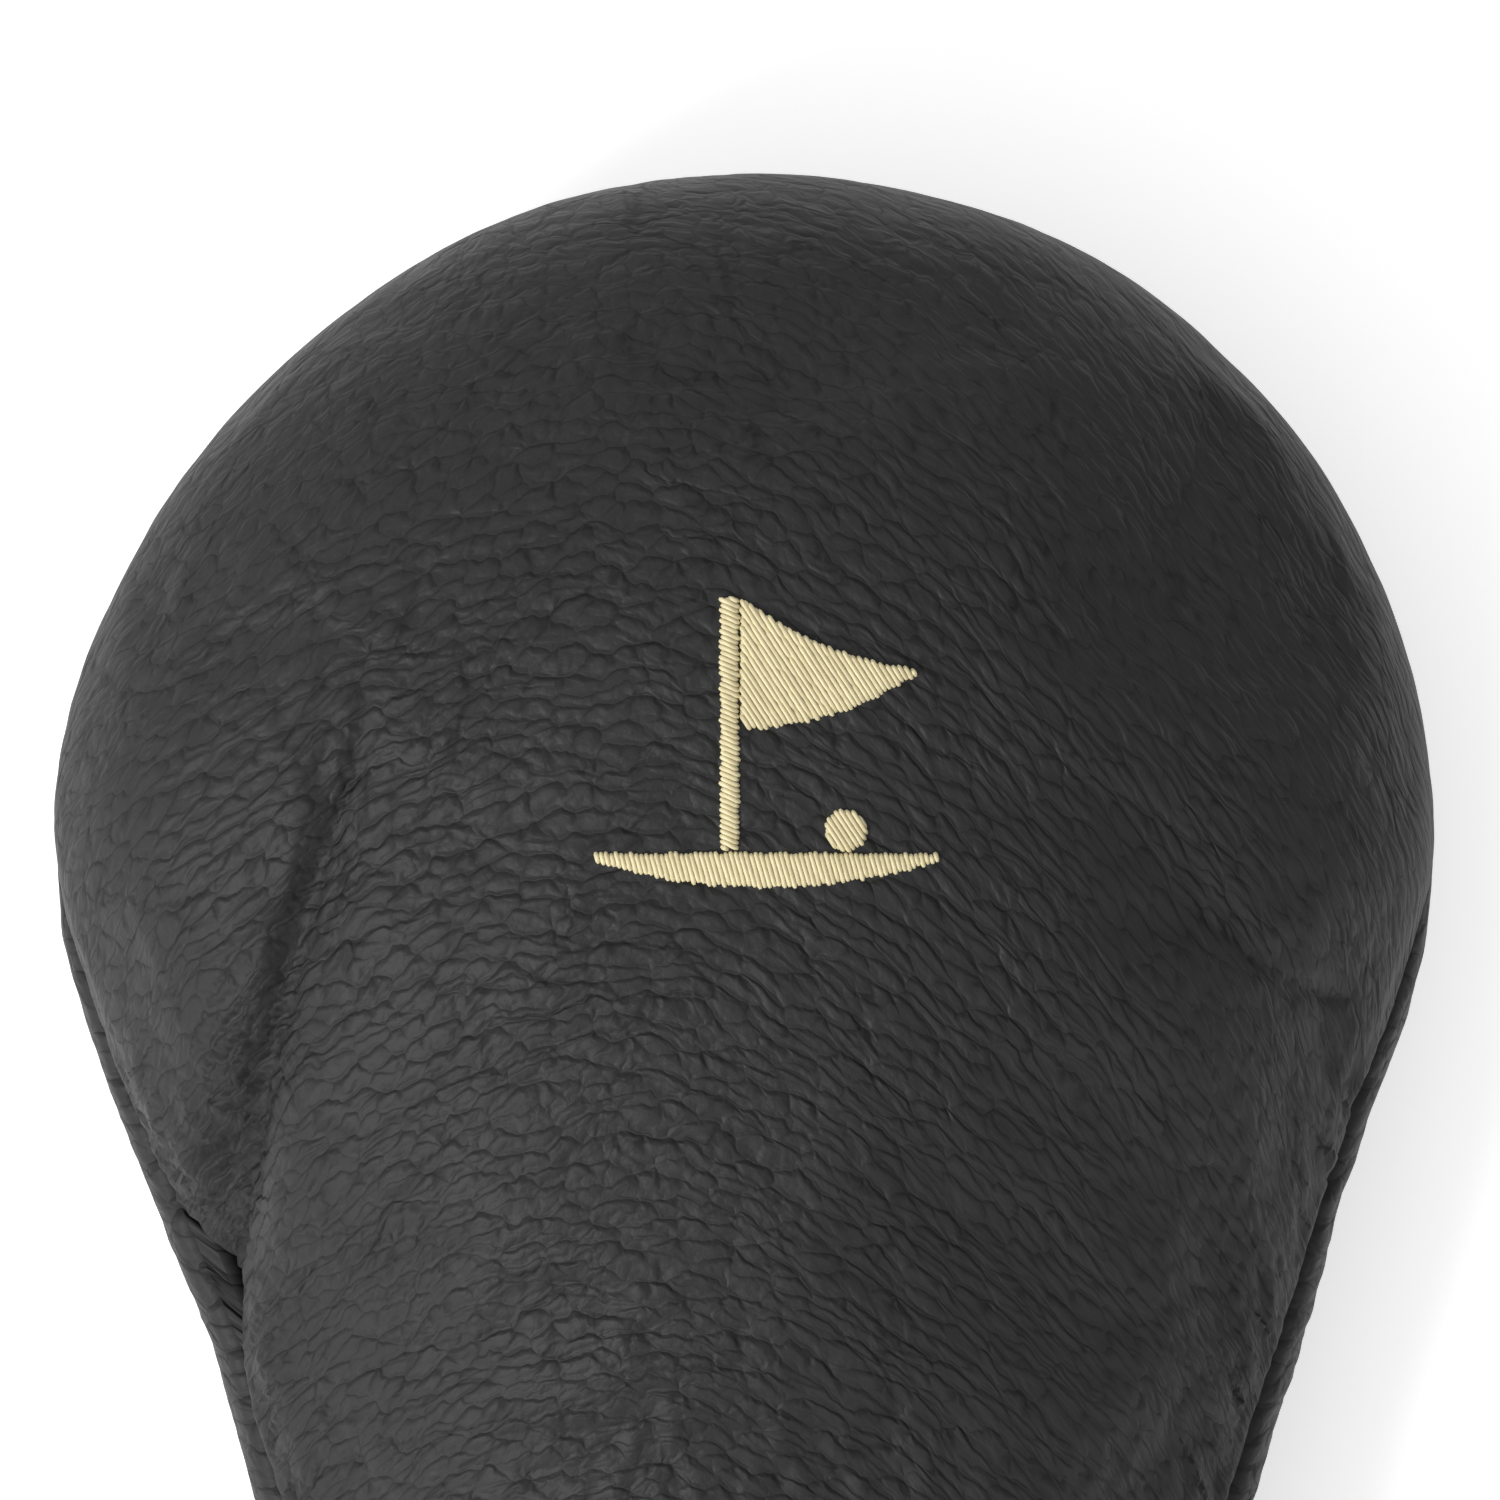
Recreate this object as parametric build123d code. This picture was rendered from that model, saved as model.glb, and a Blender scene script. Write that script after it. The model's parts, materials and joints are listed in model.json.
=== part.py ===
from build123d import *
import math
import os

# A slip-on leather head cover for a large mallet putter, lying on its back panel.
# A padded bulb holds the club head, an elastic in the neck grips below it, and a
# short skirt ends in a bound mouth for the shaft. X runs across the cover, +Y
# points to the dome's tip, and +Z is up through the front panel. The origin is
# under the middle of the cover, at the height it rests on. Sizes are millimetres.

# The whole cover. Stations are distances from the dome's tip towards the mouth.
cover_length = 215.0
bulb_width = 118.0
bulb_height = 54.0
bulb_station = 56.0  # where the bulb is widest and highest
tip_height = 27.0  # of the dome's tip over the floor
neck_station = 143.0
neck_width = 74.0
neck_height = 40.0
mouth_width = 84.0
mouth_height = 40.0

# Cross-sections: the upper half is an ellipse, the lower half a boxier curve.
neck_mid_height = 16.0  # of the widest line of the neck over the floor
upper_power = 2.0
lower_power = 2.8
rest_sink = 0.8  # how far the bulb is pressed flat where it rests
seam_height = 23.0  # of the seam that joins the front and back panels

# Plies, from the outside in
leather_thickness = 1.2
ply_gap = 0.4  # between the leather and the padding
padding_thickness = 3.0
lining_gap = 0.8  # between the padding and the lining, where its seam is sewn
lining_thickness = 1.6
allowance_width = 2.8  # of the turned seam allowance, inside the leather
thread_width = 0.5
touch = 0.02  # between a thread or strip and the face it lies on

# The elasticated neck
elastic_width = 16.0
elastic_thickness = 1.2
casing_width = 22.0
casing_thickness = 0.4
neck_ply_gap = 0.3
stitch_row_width = 0.6
stitch_row_height = 0.45

# The bound mouth
binding_width = 9.0
binding_thickness = 0.9
binding_gap = 0.2  # between the lining and the strip's inner leg
hem_clearance = 0.3  # between the hem stitches and the floor
hem_row_offset = 6.5  # of the hem stitches from the mouth's edge

# The embroidered flag, measured from the motif's own centre
emblem_station = 49.0
emblem_across = 1.5
emblem_height = 24.0
emblem_width = 32.0
emblem_thickness = 0.8
pole_width = 1.4
pole_across = -3.0
ball_radius = 1.7
backing_margin = 4.0
backing_thickness = 0.25

# Worked out from the sizes above
closing_angle = 8  # in degrees: the dome ends in a small facet here
tip_y = cover_length / 2 + bulb_station * (1 - math.cos(math.radians(closing_angle)))
edge_y = -cover_length / 2 + binding_thickness  # where the leather ends
casing_start = neck_station - casing_width / 2
casing_end = neck_station + casing_width / 2
padding_end = casing_start - 16.0
blend_length = 16.0  # over which the lining eases from one depth to the next
mouth_lift = binding_thickness + stitch_row_height + 2 * touch + hem_clearance
padding_inset = leather_thickness + ply_gap
lining_bulb_inset = padding_inset + padding_thickness + lining_gap
elastic_inset = leather_thickness + neck_ply_gap
casing_inset = elastic_inset + elastic_thickness + neck_ply_gap
lining_neck_inset = casing_inset + casing_thickness + neck_ply_gap
lining_skirt_inset = leather_thickness + neck_ply_gap
seam_stack = leather_thickness + thread_width + 2 * touch
padding_trim = seam_stack + 0.3  # height left clear of padding each side of the seam

section_points = 28
far = 2 * (cover_length + bulb_width + bulb_height)
os.makedirs("parts", exist_ok=True)


def ease(value):
    """0 to 1 with a level start and end."""
    value = min(1.0, max(0.0, value))
    return value * value * (3 - 2 * value)


def mix(low, high, share):
    return low + (high - low) * share


def dome(station, reach, power=2.0):
    """Share of the full size at a station of a rounded end of that reach."""
    if station >= reach:
        return 1.0
    return (1 - ((reach - station) / reach) ** power) ** (1 / power)


def profile(station):
    """Half width, crown height, underside height and widest line's height."""
    if station <= neck_station:
        share = ease((station - bulb_station) / (neck_station - bulb_station))
        half_width = mix(bulb_width, neck_width, share) / 2
        crown = mix(bulb_height, neck_height, share)
    else:
        share = ease((station - neck_station) / (cover_length - neck_station))
        half_width = mix(neck_width, mouth_width, share) / 2
        crown = mix(neck_height, mouth_height, share)
    lift_start = mix(bulb_station, neck_station, 0.5)
    lift = ease((station - lift_start) / (casing_end - lift_start))
    underside = mix(-rest_sink, mouth_lift, lift)
    middle = mix(tip_height, neck_mid_height, ease(station / neck_station))
    return half_width, crown, underside, middle


def section(station, inset):
    """The closed outline of one ply face at a station."""
    half_width, crown, underside, middle = profile(max(station, bulb_station))
    if station < bulb_station:
        middle = profile(station)[3]
        bulb_middle = profile(bulb_station)[3]
        reach = bulb_station - inset
        closing = dome(station - inset, reach)
        half_width = (half_width - inset) * closing
        upper = (crown - bulb_middle - inset) * closing
        lower = (bulb_middle - underside - inset) * dome(station - inset, reach, lower_power)
        lower = min(lower, middle - underside - inset)
    else:
        half_width -= inset
        upper = crown - middle - inset
        lower = middle - underside - inset
    points = []
    for index in range(section_points):
        angle = math.pi / 2 + 2 * math.pi * index / section_points
        across, rise = math.cos(angle), math.sin(angle)
        power = upper_power if rise > 0 else lower_power
        height = upper if rise > 0 else lower
        points.append(
            (
                half_width * math.copysign(abs(across) ** (2 / power), across),
                tip_y - station,
                middle + height * math.copysign(abs(rise) ** (2 / power), rise),
            )
        )
    shares = [index / section_points for index in range(section_points + 1)]
    return Wire([Edge.make_spline(points, periodic=True, parameters=shares)])


def skin(inset_at):
    """The solid inside one ply face, whose inset is a function of station."""
    tip_inset = inset_at(0)
    reach = bulb_station - tip_inset
    stations = [
        bulb_station - reach * math.cos(math.radians(angle))
        for angle in (closing_angle, 16, 26, 37, 50, 65, 80)
    ]
    stations += [mix(bulb_station, padding_end, share) for share in (0.06, 0.32, 0.6, 0.85)]
    stations += [padding_end + blend_length * share for share in (0, 0.3, 0.7, 1)]
    stations += [neck_station]
    stations += [casing_end + blend_length * share for share in (0, 0.3, 0.7, 1)]
    stations += [mix(stations[-1], cover_length, share) for share in (0.25, 0.5, 0.75, 1)]
    stations += [cover_length + binding_width]
    rings = [section(station, inset_at(station)) for station in stations]
    return Solid.make_loft(rings)


def slab(y_low=-far, y_high=far, z_low=-far, z_high=far):
    """A block across the whole width between two lengths and two heights."""
    size = (far, y_high - y_low, z_high - z_low)
    return Pos(0, (y_low + y_high) / 2, (z_low + z_high) / 2) * Box(*size)


def constant(inset):
    return lambda station: inset


def lining_inset(extra):
    """Inset of a lining face: deep behind the padding, shallow in the skirt."""

    def inset_at(station):
        rise = ease((station - padding_end) / blend_length)
        spread = ease((station - casing_end) / blend_length)
        depth = mix(lining_bulb_inset, lining_neck_inset, rise)
        return mix(depth, lining_skirt_inset, spread) + extra

    return inset_at


def pressed(inset):
    """A ply face flattened where the cover rests on it."""
    return skin(constant(inset)) & slab(z_low=inset)


def ring(outer_inset, inner_inset, **limits):
    """A strip of a given depth that follows the cover's face between limits."""
    strip = skin(constant(outer_inset)) & slab(**limits)
    return strip - skin(constant(inner_inset))


leather_face = pressed(0)
leather_back = pressed(leather_thickness)
allowance_face = skin(constant(leather_thickness + allowance_width))
padding_face = pressed(padding_inset)
padding_back = skin(constant(padding_inset + padding_thickness))
lining_face = skin(lining_inset(0))
lining_back = skin(lining_inset(lining_thickness))


def station_y(station):
    return tip_y - station


def allowance_ring():
    """The room the turned-in edges take up on both sides of the seam."""
    low, high = seam_height - leather_thickness, seam_height + leather_thickness
    return slab(y_low=station_y(padding_end), z_low=low, z_high=high) - allowance_face


leather_cavity = leather_back - allowance_ring()


def leather_panel(side):
    """One outer panel with its edge turned in along the seam. side is 1 or -1."""
    if side > 0:
        half = slab(y_low=edge_y, z_low=seam_height)
    else:
        half = slab(y_low=edge_y, z_high=seam_height)
    return (leather_face & half) - leather_cavity


def padding_panel(side):
    if side > 0:
        half = slab(y_low=station_y(padding_end), z_low=seam_height + padding_trim)
    else:
        half = slab(y_low=station_y(padding_end), z_high=seam_height - padding_trim)
    return (padding_face & half) - padding_back


def lining_panel(side):
    if side > 0:
        half = slab(y_low=edge_y, z_low=seam_height)
    else:
        half = slab(y_low=edge_y, z_high=seam_height)
    return (lining_face & half) - lining_back


def seam_thread():
    """The two strands of the lock stitch, one on each side of the allowances."""
    outer = leather_thickness + allowance_width / 2
    strands = []
    for side in (1, -1):
        near = seam_height + side * (leather_thickness + touch)
        away = near + side * thread_width
        limits = dict(
            y_low=station_y(padding_end - 1.0),
            z_low=min(near, away),
            z_high=max(near, away),
        )
        strands.append(ring(outer, outer + thread_width, **limits))
    return Compound(children=strands)


def lining_thread():
    outer = lining_bulb_inset - lining_gap / 2 - thread_width
    limits = dict(
        y_low=station_y(padding_end - 1.0),
        z_low=seam_height - thread_width / 2,
        z_high=seam_height + thread_width / 2,
    )
    return ring(outer, outer + thread_width, **limits)


def neck_strip(inset, thickness, width):
    middle = station_y(neck_station)
    return ring(inset, inset + thickness, y_low=middle - width / 2, y_high=middle + width / 2)


def stitch_row(station, outset):
    """A row of stitches round the outside, on a face that stands outset proud."""
    middle = station_y(station)
    return ring(
        -outset - touch - stitch_row_height,
        -outset - touch,
        y_low=middle - stitch_row_width / 2,
        y_high=middle + stitch_row_width / 2,
    )


def hem_binding():
    """A leather strip folded over the mouth's edge, inside and outside."""
    mouth = slab(y_low=-cover_length / 2, y_high=-cover_length / 2 + binding_width)
    inner_depth = lining_skirt_inset + lining_thickness + binding_gap
    binding = skin(constant(-touch - binding_thickness)) & mouth
    binding -= skin(constant(inner_depth + binding_thickness))
    walls = skin(constant(-touch)) & slab(y_low=edge_y - touch)
    return binding - (walls - skin(constant(inner_depth)))


def emblem_outlines():
    """The flag, its pole, the ball and the green, in plan about the centre."""
    top = emblem_height / 2
    reach = emblem_width / 2
    pole_foot = -emblem_height * 0.37
    flag_drop = emblem_height * 0.45
    flag_edge = pole_across + pole_width / 2 + 0.25
    flag_tip = (reach * 0.82, top - flag_drop * 0.55)
    flag = make_face(
        [
            Line((flag_edge, top), (flag_edge, top - flag_drop)),
            ThreePointArc(
                (flag_edge, top - flag_drop),
                (mix(flag_edge, flag_tip[0], 0.5), flag_tip[1] - flag_drop * 0.34),
                flag_tip,
            ),
            ThreePointArc(
                flag_tip,
                (mix(flag_edge, flag_tip[0], 0.5), flag_tip[1] + flag_drop * 0.16),
                (flag_edge, top),
            ),
        ]
    )
    pole_length = top - pole_foot
    pole = Pos(pole_across, pole_foot + pole_length / 2) * Rectangle(pole_width, pole_length)
    green = make_face(
        [
            ThreePointArc((-reach, -top * 0.78), (0, pole_foot - 0.4), (reach, -top * 0.78)),
            ThreePointArc((reach, -top * 0.78), (0, -top), (-reach, -top * 0.78)),
        ]
    )
    ball = Pos(reach * 0.42, pole_foot + ball_radius * 0.9) * Circle(ball_radius)
    return [flag, pole, ball, green]


def on_crown(outline, outer_skin, inner_skin):
    """The part of a ply above the seam that lies under a plan outline."""
    place = Pos(emblem_across, station_y(emblem_station), seam_height)
    column = extrude(place * outline, amount=bulb_height)
    return (outer_skin & column) - inner_skin


def emblem():
    outer = skin(constant(-touch - emblem_thickness))
    inner = skin(constant(-touch))
    return Compound(children=[on_crown(o, outer, inner) for o in emblem_outlines()])


def emblem_backing():
    """Non-woven stabiliser behind the stitches, between leather and padding."""
    length = emblem_height + 2 * backing_margin
    width = emblem_width + 2 * backing_margin
    outline = RectangleRounded(width, length, backing_margin)
    outer = skin(constant(leather_thickness + touch))
    inner = skin(constant(leather_thickness + touch + backing_thickness))
    return on_crown(outline, outer, inner)


nodes = {
    "front_panel": leather_panel(1),
    "back_panel": leather_panel(-1),
    "front_padding": padding_panel(1),
    "back_padding": padding_panel(-1),
    "front_lining": lining_panel(1),
    "back_lining": lining_panel(-1),
    "perimeter_seam_thread": seam_thread(),
    "lining_seam_thread": lining_thread(),
    "neck_elastic": neck_strip(elastic_inset, elastic_thickness, elastic_width),
    "elastic_casing": neck_strip(casing_inset, casing_thickness, casing_width),
    "neck_upper_stitches": stitch_row(casing_start + 1.0, 0),
    "neck_lower_stitches": stitch_row(casing_end - 1.0, 0),
    "hem_binding": hem_binding(),
    "hem_stitches": stitch_row(cover_length - hem_row_offset, binding_thickness + touch),
    "emblem_embroidery": emblem(),
    "emblem_backing": emblem_backing(),
}

for name, shape in nodes.items():
    export_step(shape, f"parts/{name}.step")
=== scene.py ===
import json
import math

import bmesh
import bpy
import numpy as np
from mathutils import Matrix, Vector
from mathutils.bvhtree import BVHTree

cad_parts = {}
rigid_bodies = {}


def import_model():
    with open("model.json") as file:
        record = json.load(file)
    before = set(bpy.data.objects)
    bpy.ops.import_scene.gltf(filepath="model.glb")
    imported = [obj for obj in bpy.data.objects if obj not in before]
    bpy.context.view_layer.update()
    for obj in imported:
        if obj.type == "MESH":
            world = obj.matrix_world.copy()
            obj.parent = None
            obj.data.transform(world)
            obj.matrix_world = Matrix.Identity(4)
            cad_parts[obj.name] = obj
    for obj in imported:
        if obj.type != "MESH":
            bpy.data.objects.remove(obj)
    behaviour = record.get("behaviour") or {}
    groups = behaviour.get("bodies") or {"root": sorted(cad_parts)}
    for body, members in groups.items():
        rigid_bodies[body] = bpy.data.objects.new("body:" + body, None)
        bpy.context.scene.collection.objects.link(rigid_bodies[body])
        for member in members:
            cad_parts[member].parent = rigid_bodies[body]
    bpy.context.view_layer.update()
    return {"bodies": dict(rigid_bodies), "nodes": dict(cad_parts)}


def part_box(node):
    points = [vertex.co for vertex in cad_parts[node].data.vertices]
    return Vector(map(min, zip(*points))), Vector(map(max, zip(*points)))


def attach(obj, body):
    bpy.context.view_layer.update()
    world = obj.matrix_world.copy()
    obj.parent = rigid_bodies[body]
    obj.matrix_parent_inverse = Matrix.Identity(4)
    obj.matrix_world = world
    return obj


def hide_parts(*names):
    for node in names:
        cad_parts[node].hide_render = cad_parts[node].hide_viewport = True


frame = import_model()
coverBody = next(iter(frame["bodies"]))  # one soft body, with no joints
print("frame loaded:", len(frame["nodes"]), "pieces")


def boxOf(node):
    low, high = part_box(node)
    return [v * 1000 for v in low], [v * 1000 for v in high]


# Millimetres are used up to the moment a mesh is made.
panelLow, panelHigh = boxOf("front_panel")
backHigh = boxOf("back_panel")[1]
elasticLow, elasticHigh = boxOf("neck_elastic")
casingLow, casingHigh = boxOf("elastic_casing")
upperRowLow, upperRowHigh = boxOf("neck_upper_stitches")
lowerRowLow, lowerRowHigh = boxOf("neck_lower_stitches")
bindingLow, bindingHigh = boxOf("hem_binding")
hemRowLow, hemRowHigh = boxOf("hem_stitches")
paddingLow = boxOf("front_padding")[0]
emblemLow, emblemHigh = boxOf("emblem_embroidery")
backingLow, backingHigh = boxOf("emblem_backing")

plies = {
    # how deep each face lies inside the leather's outer face, and how thick some plies are
    "leather": 1.2,
    "paddingFace": 2.0,
    "paddingBack": 4.6,
    "liningBulb": 5.4,
    "liningNeck": 3.7,
    "liningSkirt": 1.5,
    "lining": 1.6,
    "elasticFace": 1.5,
    "elasticBack": 2.7,
    "casingFace": 3.0,
    "casingBack": 3.4,
    "binding": 0.9,
}

cover = {
    "tipY": panelHigh[1] + 0.02,
    "bulbStation": 56.0,  # stations run from the dome's tip to the mouth
    "bulbHalf": panelHigh[0],
    "bulbCrown": 54.0,
    "tipHeight": 27.0,
    "neckStation": panelHigh[1] - (elasticLow[1] + elasticHigh[1]) / 2,
    "neckHalf": elasticHigh[0] + plies["elasticFace"] - 0.7,
    "neckCrown": elasticHigh[2] + plies["elasticFace"],
    "neckMiddle": 16.0,
    "mouthHalf": bindingHigh[0] - plies["binding"],
    "mouthCrown": bindingHigh[2] - plies["binding"],
    "mouthLift": bindingLow[2] + plies["binding"],
    "restSink": 0.8,
    "seam": backHigh[2],
    "upperPower": 2.0,
    "lowerPower": 2.8,
    "restBend": 0.35,  # over which the pressed face turns up
    "ringPoints": 420,  # of the fine ring that each row of columns is picked from
}
cover["length"] = cover["tipY"] - panelLow[1]
paddingEnd = cover["tipY"] - paddingLow[1]
neckStart = cover["tipY"] - casingHigh[1]
neckEnd = cover["tipY"] - casingLow[1]


def ease(value):
    value = np.clip(value, 0.0, 1.0)
    return value * value * (3 - 2 * value)


def mix(low, high, share):
    return low + (high - low) * share


def bump(value, centre, width):
    return np.exp(-(((value - centre) / width) ** 2))


def domeShare(station, reach, power=2.0):
    gap = np.clip((reach - station) / reach, 0.0, 1.0)
    return np.maximum(1 - gap**power, 0.0) ** (1 / power)


def profile(station):
    bulb, neck, end = cover["bulbStation"], cover["neckStation"], cover["length"]
    toNeck = ease((station - bulb) / (neck - bulb))
    toMouth = ease((station - neck) / (end - neck))
    half = mix(cover["bulbHalf"], cover["neckHalf"], toNeck)
    half = half + (cover["mouthHalf"] - cover["neckHalf"]) * toMouth
    crown = mix(cover["bulbCrown"], cover["neckCrown"], toNeck)
    crown = crown + (cover["mouthCrown"] - cover["neckCrown"]) * toMouth
    liftStart = (bulb + neck) / 2
    lift = ease((station - liftStart) / (neckEnd - liftStart))
    under = mix(-cover["restSink"], cover["mouthLift"], lift)
    middle = mix(cover["tipHeight"], cover["neckMiddle"], ease(station / neck))
    return half, crown, under, middle


def innerStation(station, inset):
    # plies start a little behind the dome's tip, by their own depth
    bulb = cover["bulbStation"]
    return np.where(station < bulb, inset + station * (bulb - inset) / bulb, station)


def outline(station, inset):
    station = innerStation(station, inset)
    bulb = cover["bulbStation"]
    half, crown, under, middle = profile(np.maximum(station, bulb))
    ownMiddle = profile(station)[3]
    share = domeShare(station - inset, bulb - inset)
    lowShare = domeShare(station - inset, bulb - inset, cover["lowerPower"])
    domed = station < bulb
    bulbMiddle = profile(np.asarray(bulb))[3]
    upper = np.where(domed, (crown - bulbMiddle - inset) * share, crown - middle - inset)
    lower = np.where(domed, (bulbMiddle - under - inset) * lowShare, middle - under - inset)
    lower = np.minimum(lower, ownMiddle - under - inset)
    half = np.where(domed, (half - inset) * share, half - inset)
    return station, half, np.maximum(upper, 1e-3), np.maximum(lower, 1e-3), ownMiddle


def halfRing(station, inset, top, seam, spread):
    # spread says where along the arc the columns stand
    station, half, upper, lower, middle = (float(v) for v in outline(station, inset))
    if middle >= seam:
        start = -math.asin(min(1.0, (middle - seam) / lower) ** (cover["lowerPower"] / 2))
    else:
        start = math.asin(min(1.0, (seam - middle) / upper) ** (cover["upperPower"] / 2))
    if top:
        angles = np.linspace(math.pi - start, start, cover["ringPoints"])
    else:
        angles = np.linspace(math.pi - start, 2 * math.pi + start, cover["ringPoints"])
    across, rise = np.cos(angles), np.sin(angles)
    power = np.where(rise > 0, cover["upperPower"], cover["lowerPower"])
    height = np.where(rise > 0, upper, lower)
    x = half * np.sign(across) * np.abs(across) ** (2 / power)
    z = middle + height * np.sign(rise) * np.abs(rise) ** (2 / power)
    bend = cover["restBend"]
    floor = inset + bend
    z = np.where(z < floor, inset + bend * np.exp((z - floor) / bend), z)  # pressed flat
    arc = np.concatenate([[0], np.cumsum(np.hypot(np.diff(x), np.diff(z)))])
    at = spread(arc[-1])
    y = np.full(len(at), cover["tipY"] - station)
    return np.stack([np.interp(at, arc, x), y, np.interp(at, arc, z)], 1), at, arc[-1]


def plainGrid(stations, top, spread):
    # the plain form's points, with each row's places along its arc and its length
    rows = [halfRing(station, 0.0, top, cover["seam"], spread) for station in stations]
    return [np.array(part) for part in zip(*rows)]


def unitRows(vectors):
    return vectors / np.maximum(np.linalg.norm(vectors, axis=-1, keepdims=True), 1e-9)


def gridNormals(points):
    down = np.gradient(points, axis=0)
    along = np.gradient(points, axis=1)
    return unitRows(np.cross(down, along))


noiseTurns = 4096
noiseStride = (73, 1009)


def softNoise(u, v, seed):
    # smooth random hills, about -0.6 to 0.6, one unit apart
    table = np.random.default_rng(seed).uniform(0, 2 * math.pi, noiseTurns)
    baseU, baseV = np.floor(u).astype(int), np.floor(v).astype(int)
    partU, partV = u - baseU, v - baseV
    fadeU, fadeV = ease(partU), ease(partV)

    def corner(stepU, stepV):
        place = (baseU + stepU) * noiseStride[0] + (baseV + stepV) * noiseStride[1]
        turn = table[place % noiseTurns]
        return np.cos(turn) * (partU - stepU) + np.sin(turn) * (partV - stepV)

    low = mix(corner(0, 0), corner(1, 0), fadeU)
    return mix(low, mix(corner(0, 1), corner(1, 1), fadeU), fadeV)


curveSteps = 400
curveBlur = 5.0


def through(value, table):
    # a smooth curve through (where, how much) pairs
    where, amount = zip(*table)
    fine = np.linspace(where[0], where[-1], curveSteps)
    line = np.interp(fine, where, amount)
    width = max(3, int(curveSteps * curveBlur / (where[-1] - where[0])) | 1)
    padded = np.concatenate([np.full(width, line[0]), line, np.full(width, line[-1])])
    weights = np.hanning(width + 2)[1:-1]
    line = np.convolve(padded, weights / weights.sum(), "same")[width:-width]
    return np.interp(value, fine, line)


drape = {
    # how far each side stands out from the plain form, at stations from the tip
    "leftFull": [(0, -1.0), (3, -2.6), (8, -3.4), (15, -2.8), (23, -2.2), (33, -1.6), (43, -0.5), (54, 0.2),
                 (64, 0.0), (74, -1.0), (85, -2.0), (100, -2.4), (113, -0.9), (130, 0), (215, 0)],
    "rightFull": [(0, 1.0), (3, 1.9), (6, 2.0), (10, 0.8), (15, -0.2), (33, -0.6), (48, -0.6), (60, -0.3),
                  (70, -1.1), (79, -2.1), (88, -2.0), (100, -0.8), (113, 0.3), (130, 0), (215, 0)],
    # the deep fold on the left, where the neck gathers the front panel
    "foldPath": [(24, -18.0), (33, -23.4), (40, -28.2), (50, -32.6),
                 (60, -36.2), (70, -39.4), (77, -42.0), (86, -45.3), (100, -47.2)],
    "foldDepth": 2.4,
    "foldSteps": ((0.42, 32, 28), (0.58, 64, 16)),  # how much of its depth, from where, over what
    "foldEnd": (98, 12),
    "foldReach": (2.73, 5.07),  # to its left and right
    "foldWander": 0.5,
    "foldLine": 1.35,
    "foldLineReach": (1.0, 3.4),  # of the sharp crease, and of the plies under it
    "earPuff": 1.0,
    "tonguePuff": 1.0,
    "hollow": 0.6,
    # the short curved crease on the right
    "smilePath": [(34, 58.5), (39.4, 64.0), (44, 68.0), (48, 70.0), (53, 71.3)],
    "smileDepth": 0.75,
    "smileReach": (0.8, 0.6),
    "smileGap": (2.4, 40, 12),  # between its two lines, closing over this span
    "smileHollow": (0.5, 4.5, 4),  # how deep, how far past it and how long
    "rightDip": 0.9,
    "swell": 0.45,  # slow unevenness of the stuffing
    "ripple": 0.13,
    "gatherDepth": 0.8,
    "gatherBack": 0.12,  # the share of it that the under panel shows
    "gatherReach": 12.0,
    "pleatDepth": 0.75,
    "neckTuck": 0.8,
    "neckTuckBack": 0.3,
    "seamFade": 6.0,  # features fade out this near the seam
    "seamRoll": 1.15,
    "seamPinch": 0.9,
    "seamPinchReach": 5.0,
    "seamSlope": 1.5,  # the seam pulls the shoulders flat
    "crinkle": 1.0,
    "pucker": 0.20,
    "lip": 0.35,
    "shoulderBulge": 0.6,
    "backPinch": (0.3, 1.6),
    "underFold": (0.8, 0.15, 0.8),  # how far the inner plies keep below the folds
    "archCentre": -9.0,
    "archLeft": (38.0, 0.7),  # how slowly the arches turn down, and how steep they end
    "archRight": (26.0, 1.25),
}

# where each feature comes in and goes out, as (place, over what length)
spans = {
    "shoulder": ((56, 14), (120, 14)),
    "foldLine": ((34, 28), (96, 10)),
    "crumple": ((36, 18), (98, 10)),
    "tongue": ((70, 14), (100, 16)),
    "rightDip": ((14, 14), (62, 8)),
    "smile": ((36, 3), (50, 4)),
    "gather": ((66, 16), (168, 14)),
}

# where each hump or hollow lies, as (centre, reach)
humps = {
    "crumple": (-1.0, 5.0),
    "earAcross": (-50, 8),
    "earAlong": (64, 22),
    "tongue": (4.0, 3.2),
    "hollowAcross": (10, 7),
    "hollowAlong": (56, 20),
    "rightDip": (36, 6.5),
    "lip": (1.7, 1.0),
    "slope": (13.0, 8.0),
    "bulge": (3.4, 3.2),
    "pucker": (2.4, 3.0),
}

# how far apart the hills of each wrinkle are, across and along
hills = {
    "swell": (17, 19),
    "pleat": (3.4, 26),
    "smallPleat": (1.9, 15),
    "warp": (4, 5),
    "gather": (6.0, 2.5),
    "ripple": (3.6, 2.1),
    "folds": (1.8, 8.0),
    "cross": (2.6, 1.7),
    "pucker": (5.2, 5),
}


def between(value, span):
    (start, rising), (end, falling) = span
    return ease((value - start) / rising) * (1 - ease((value - end) / falling))


def hilly(kind, u, v, seed):
    wide, high = hills[kind]
    return softNoise(u / wide, v / high, seed)


def archOf(u):
    # the hide's wrinkles run in arches that follow the dome
    away = u - drape["archCentre"]
    radius = np.where(away < 0, drape["archLeft"][0], drape["archRight"][0])
    limit = np.where(away < 0, drape["archLeft"][1], drape["archRight"][1])
    return limit**2 * radius * (np.sqrt(1 + (away / radius / limit) ** 2) - 1)


def foldOffset(s, moved):
    # how far each point lies from the fold's line, square to it
    whole = np.arange(0, 216.0)
    slope = np.gradient(through(whole, drape["foldPath"]))
    lean = 1 / np.sqrt(1 + np.interp(s, whole, slope) ** 2)
    return (moved - through(s, drape["foldPath"])) * lean


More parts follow.
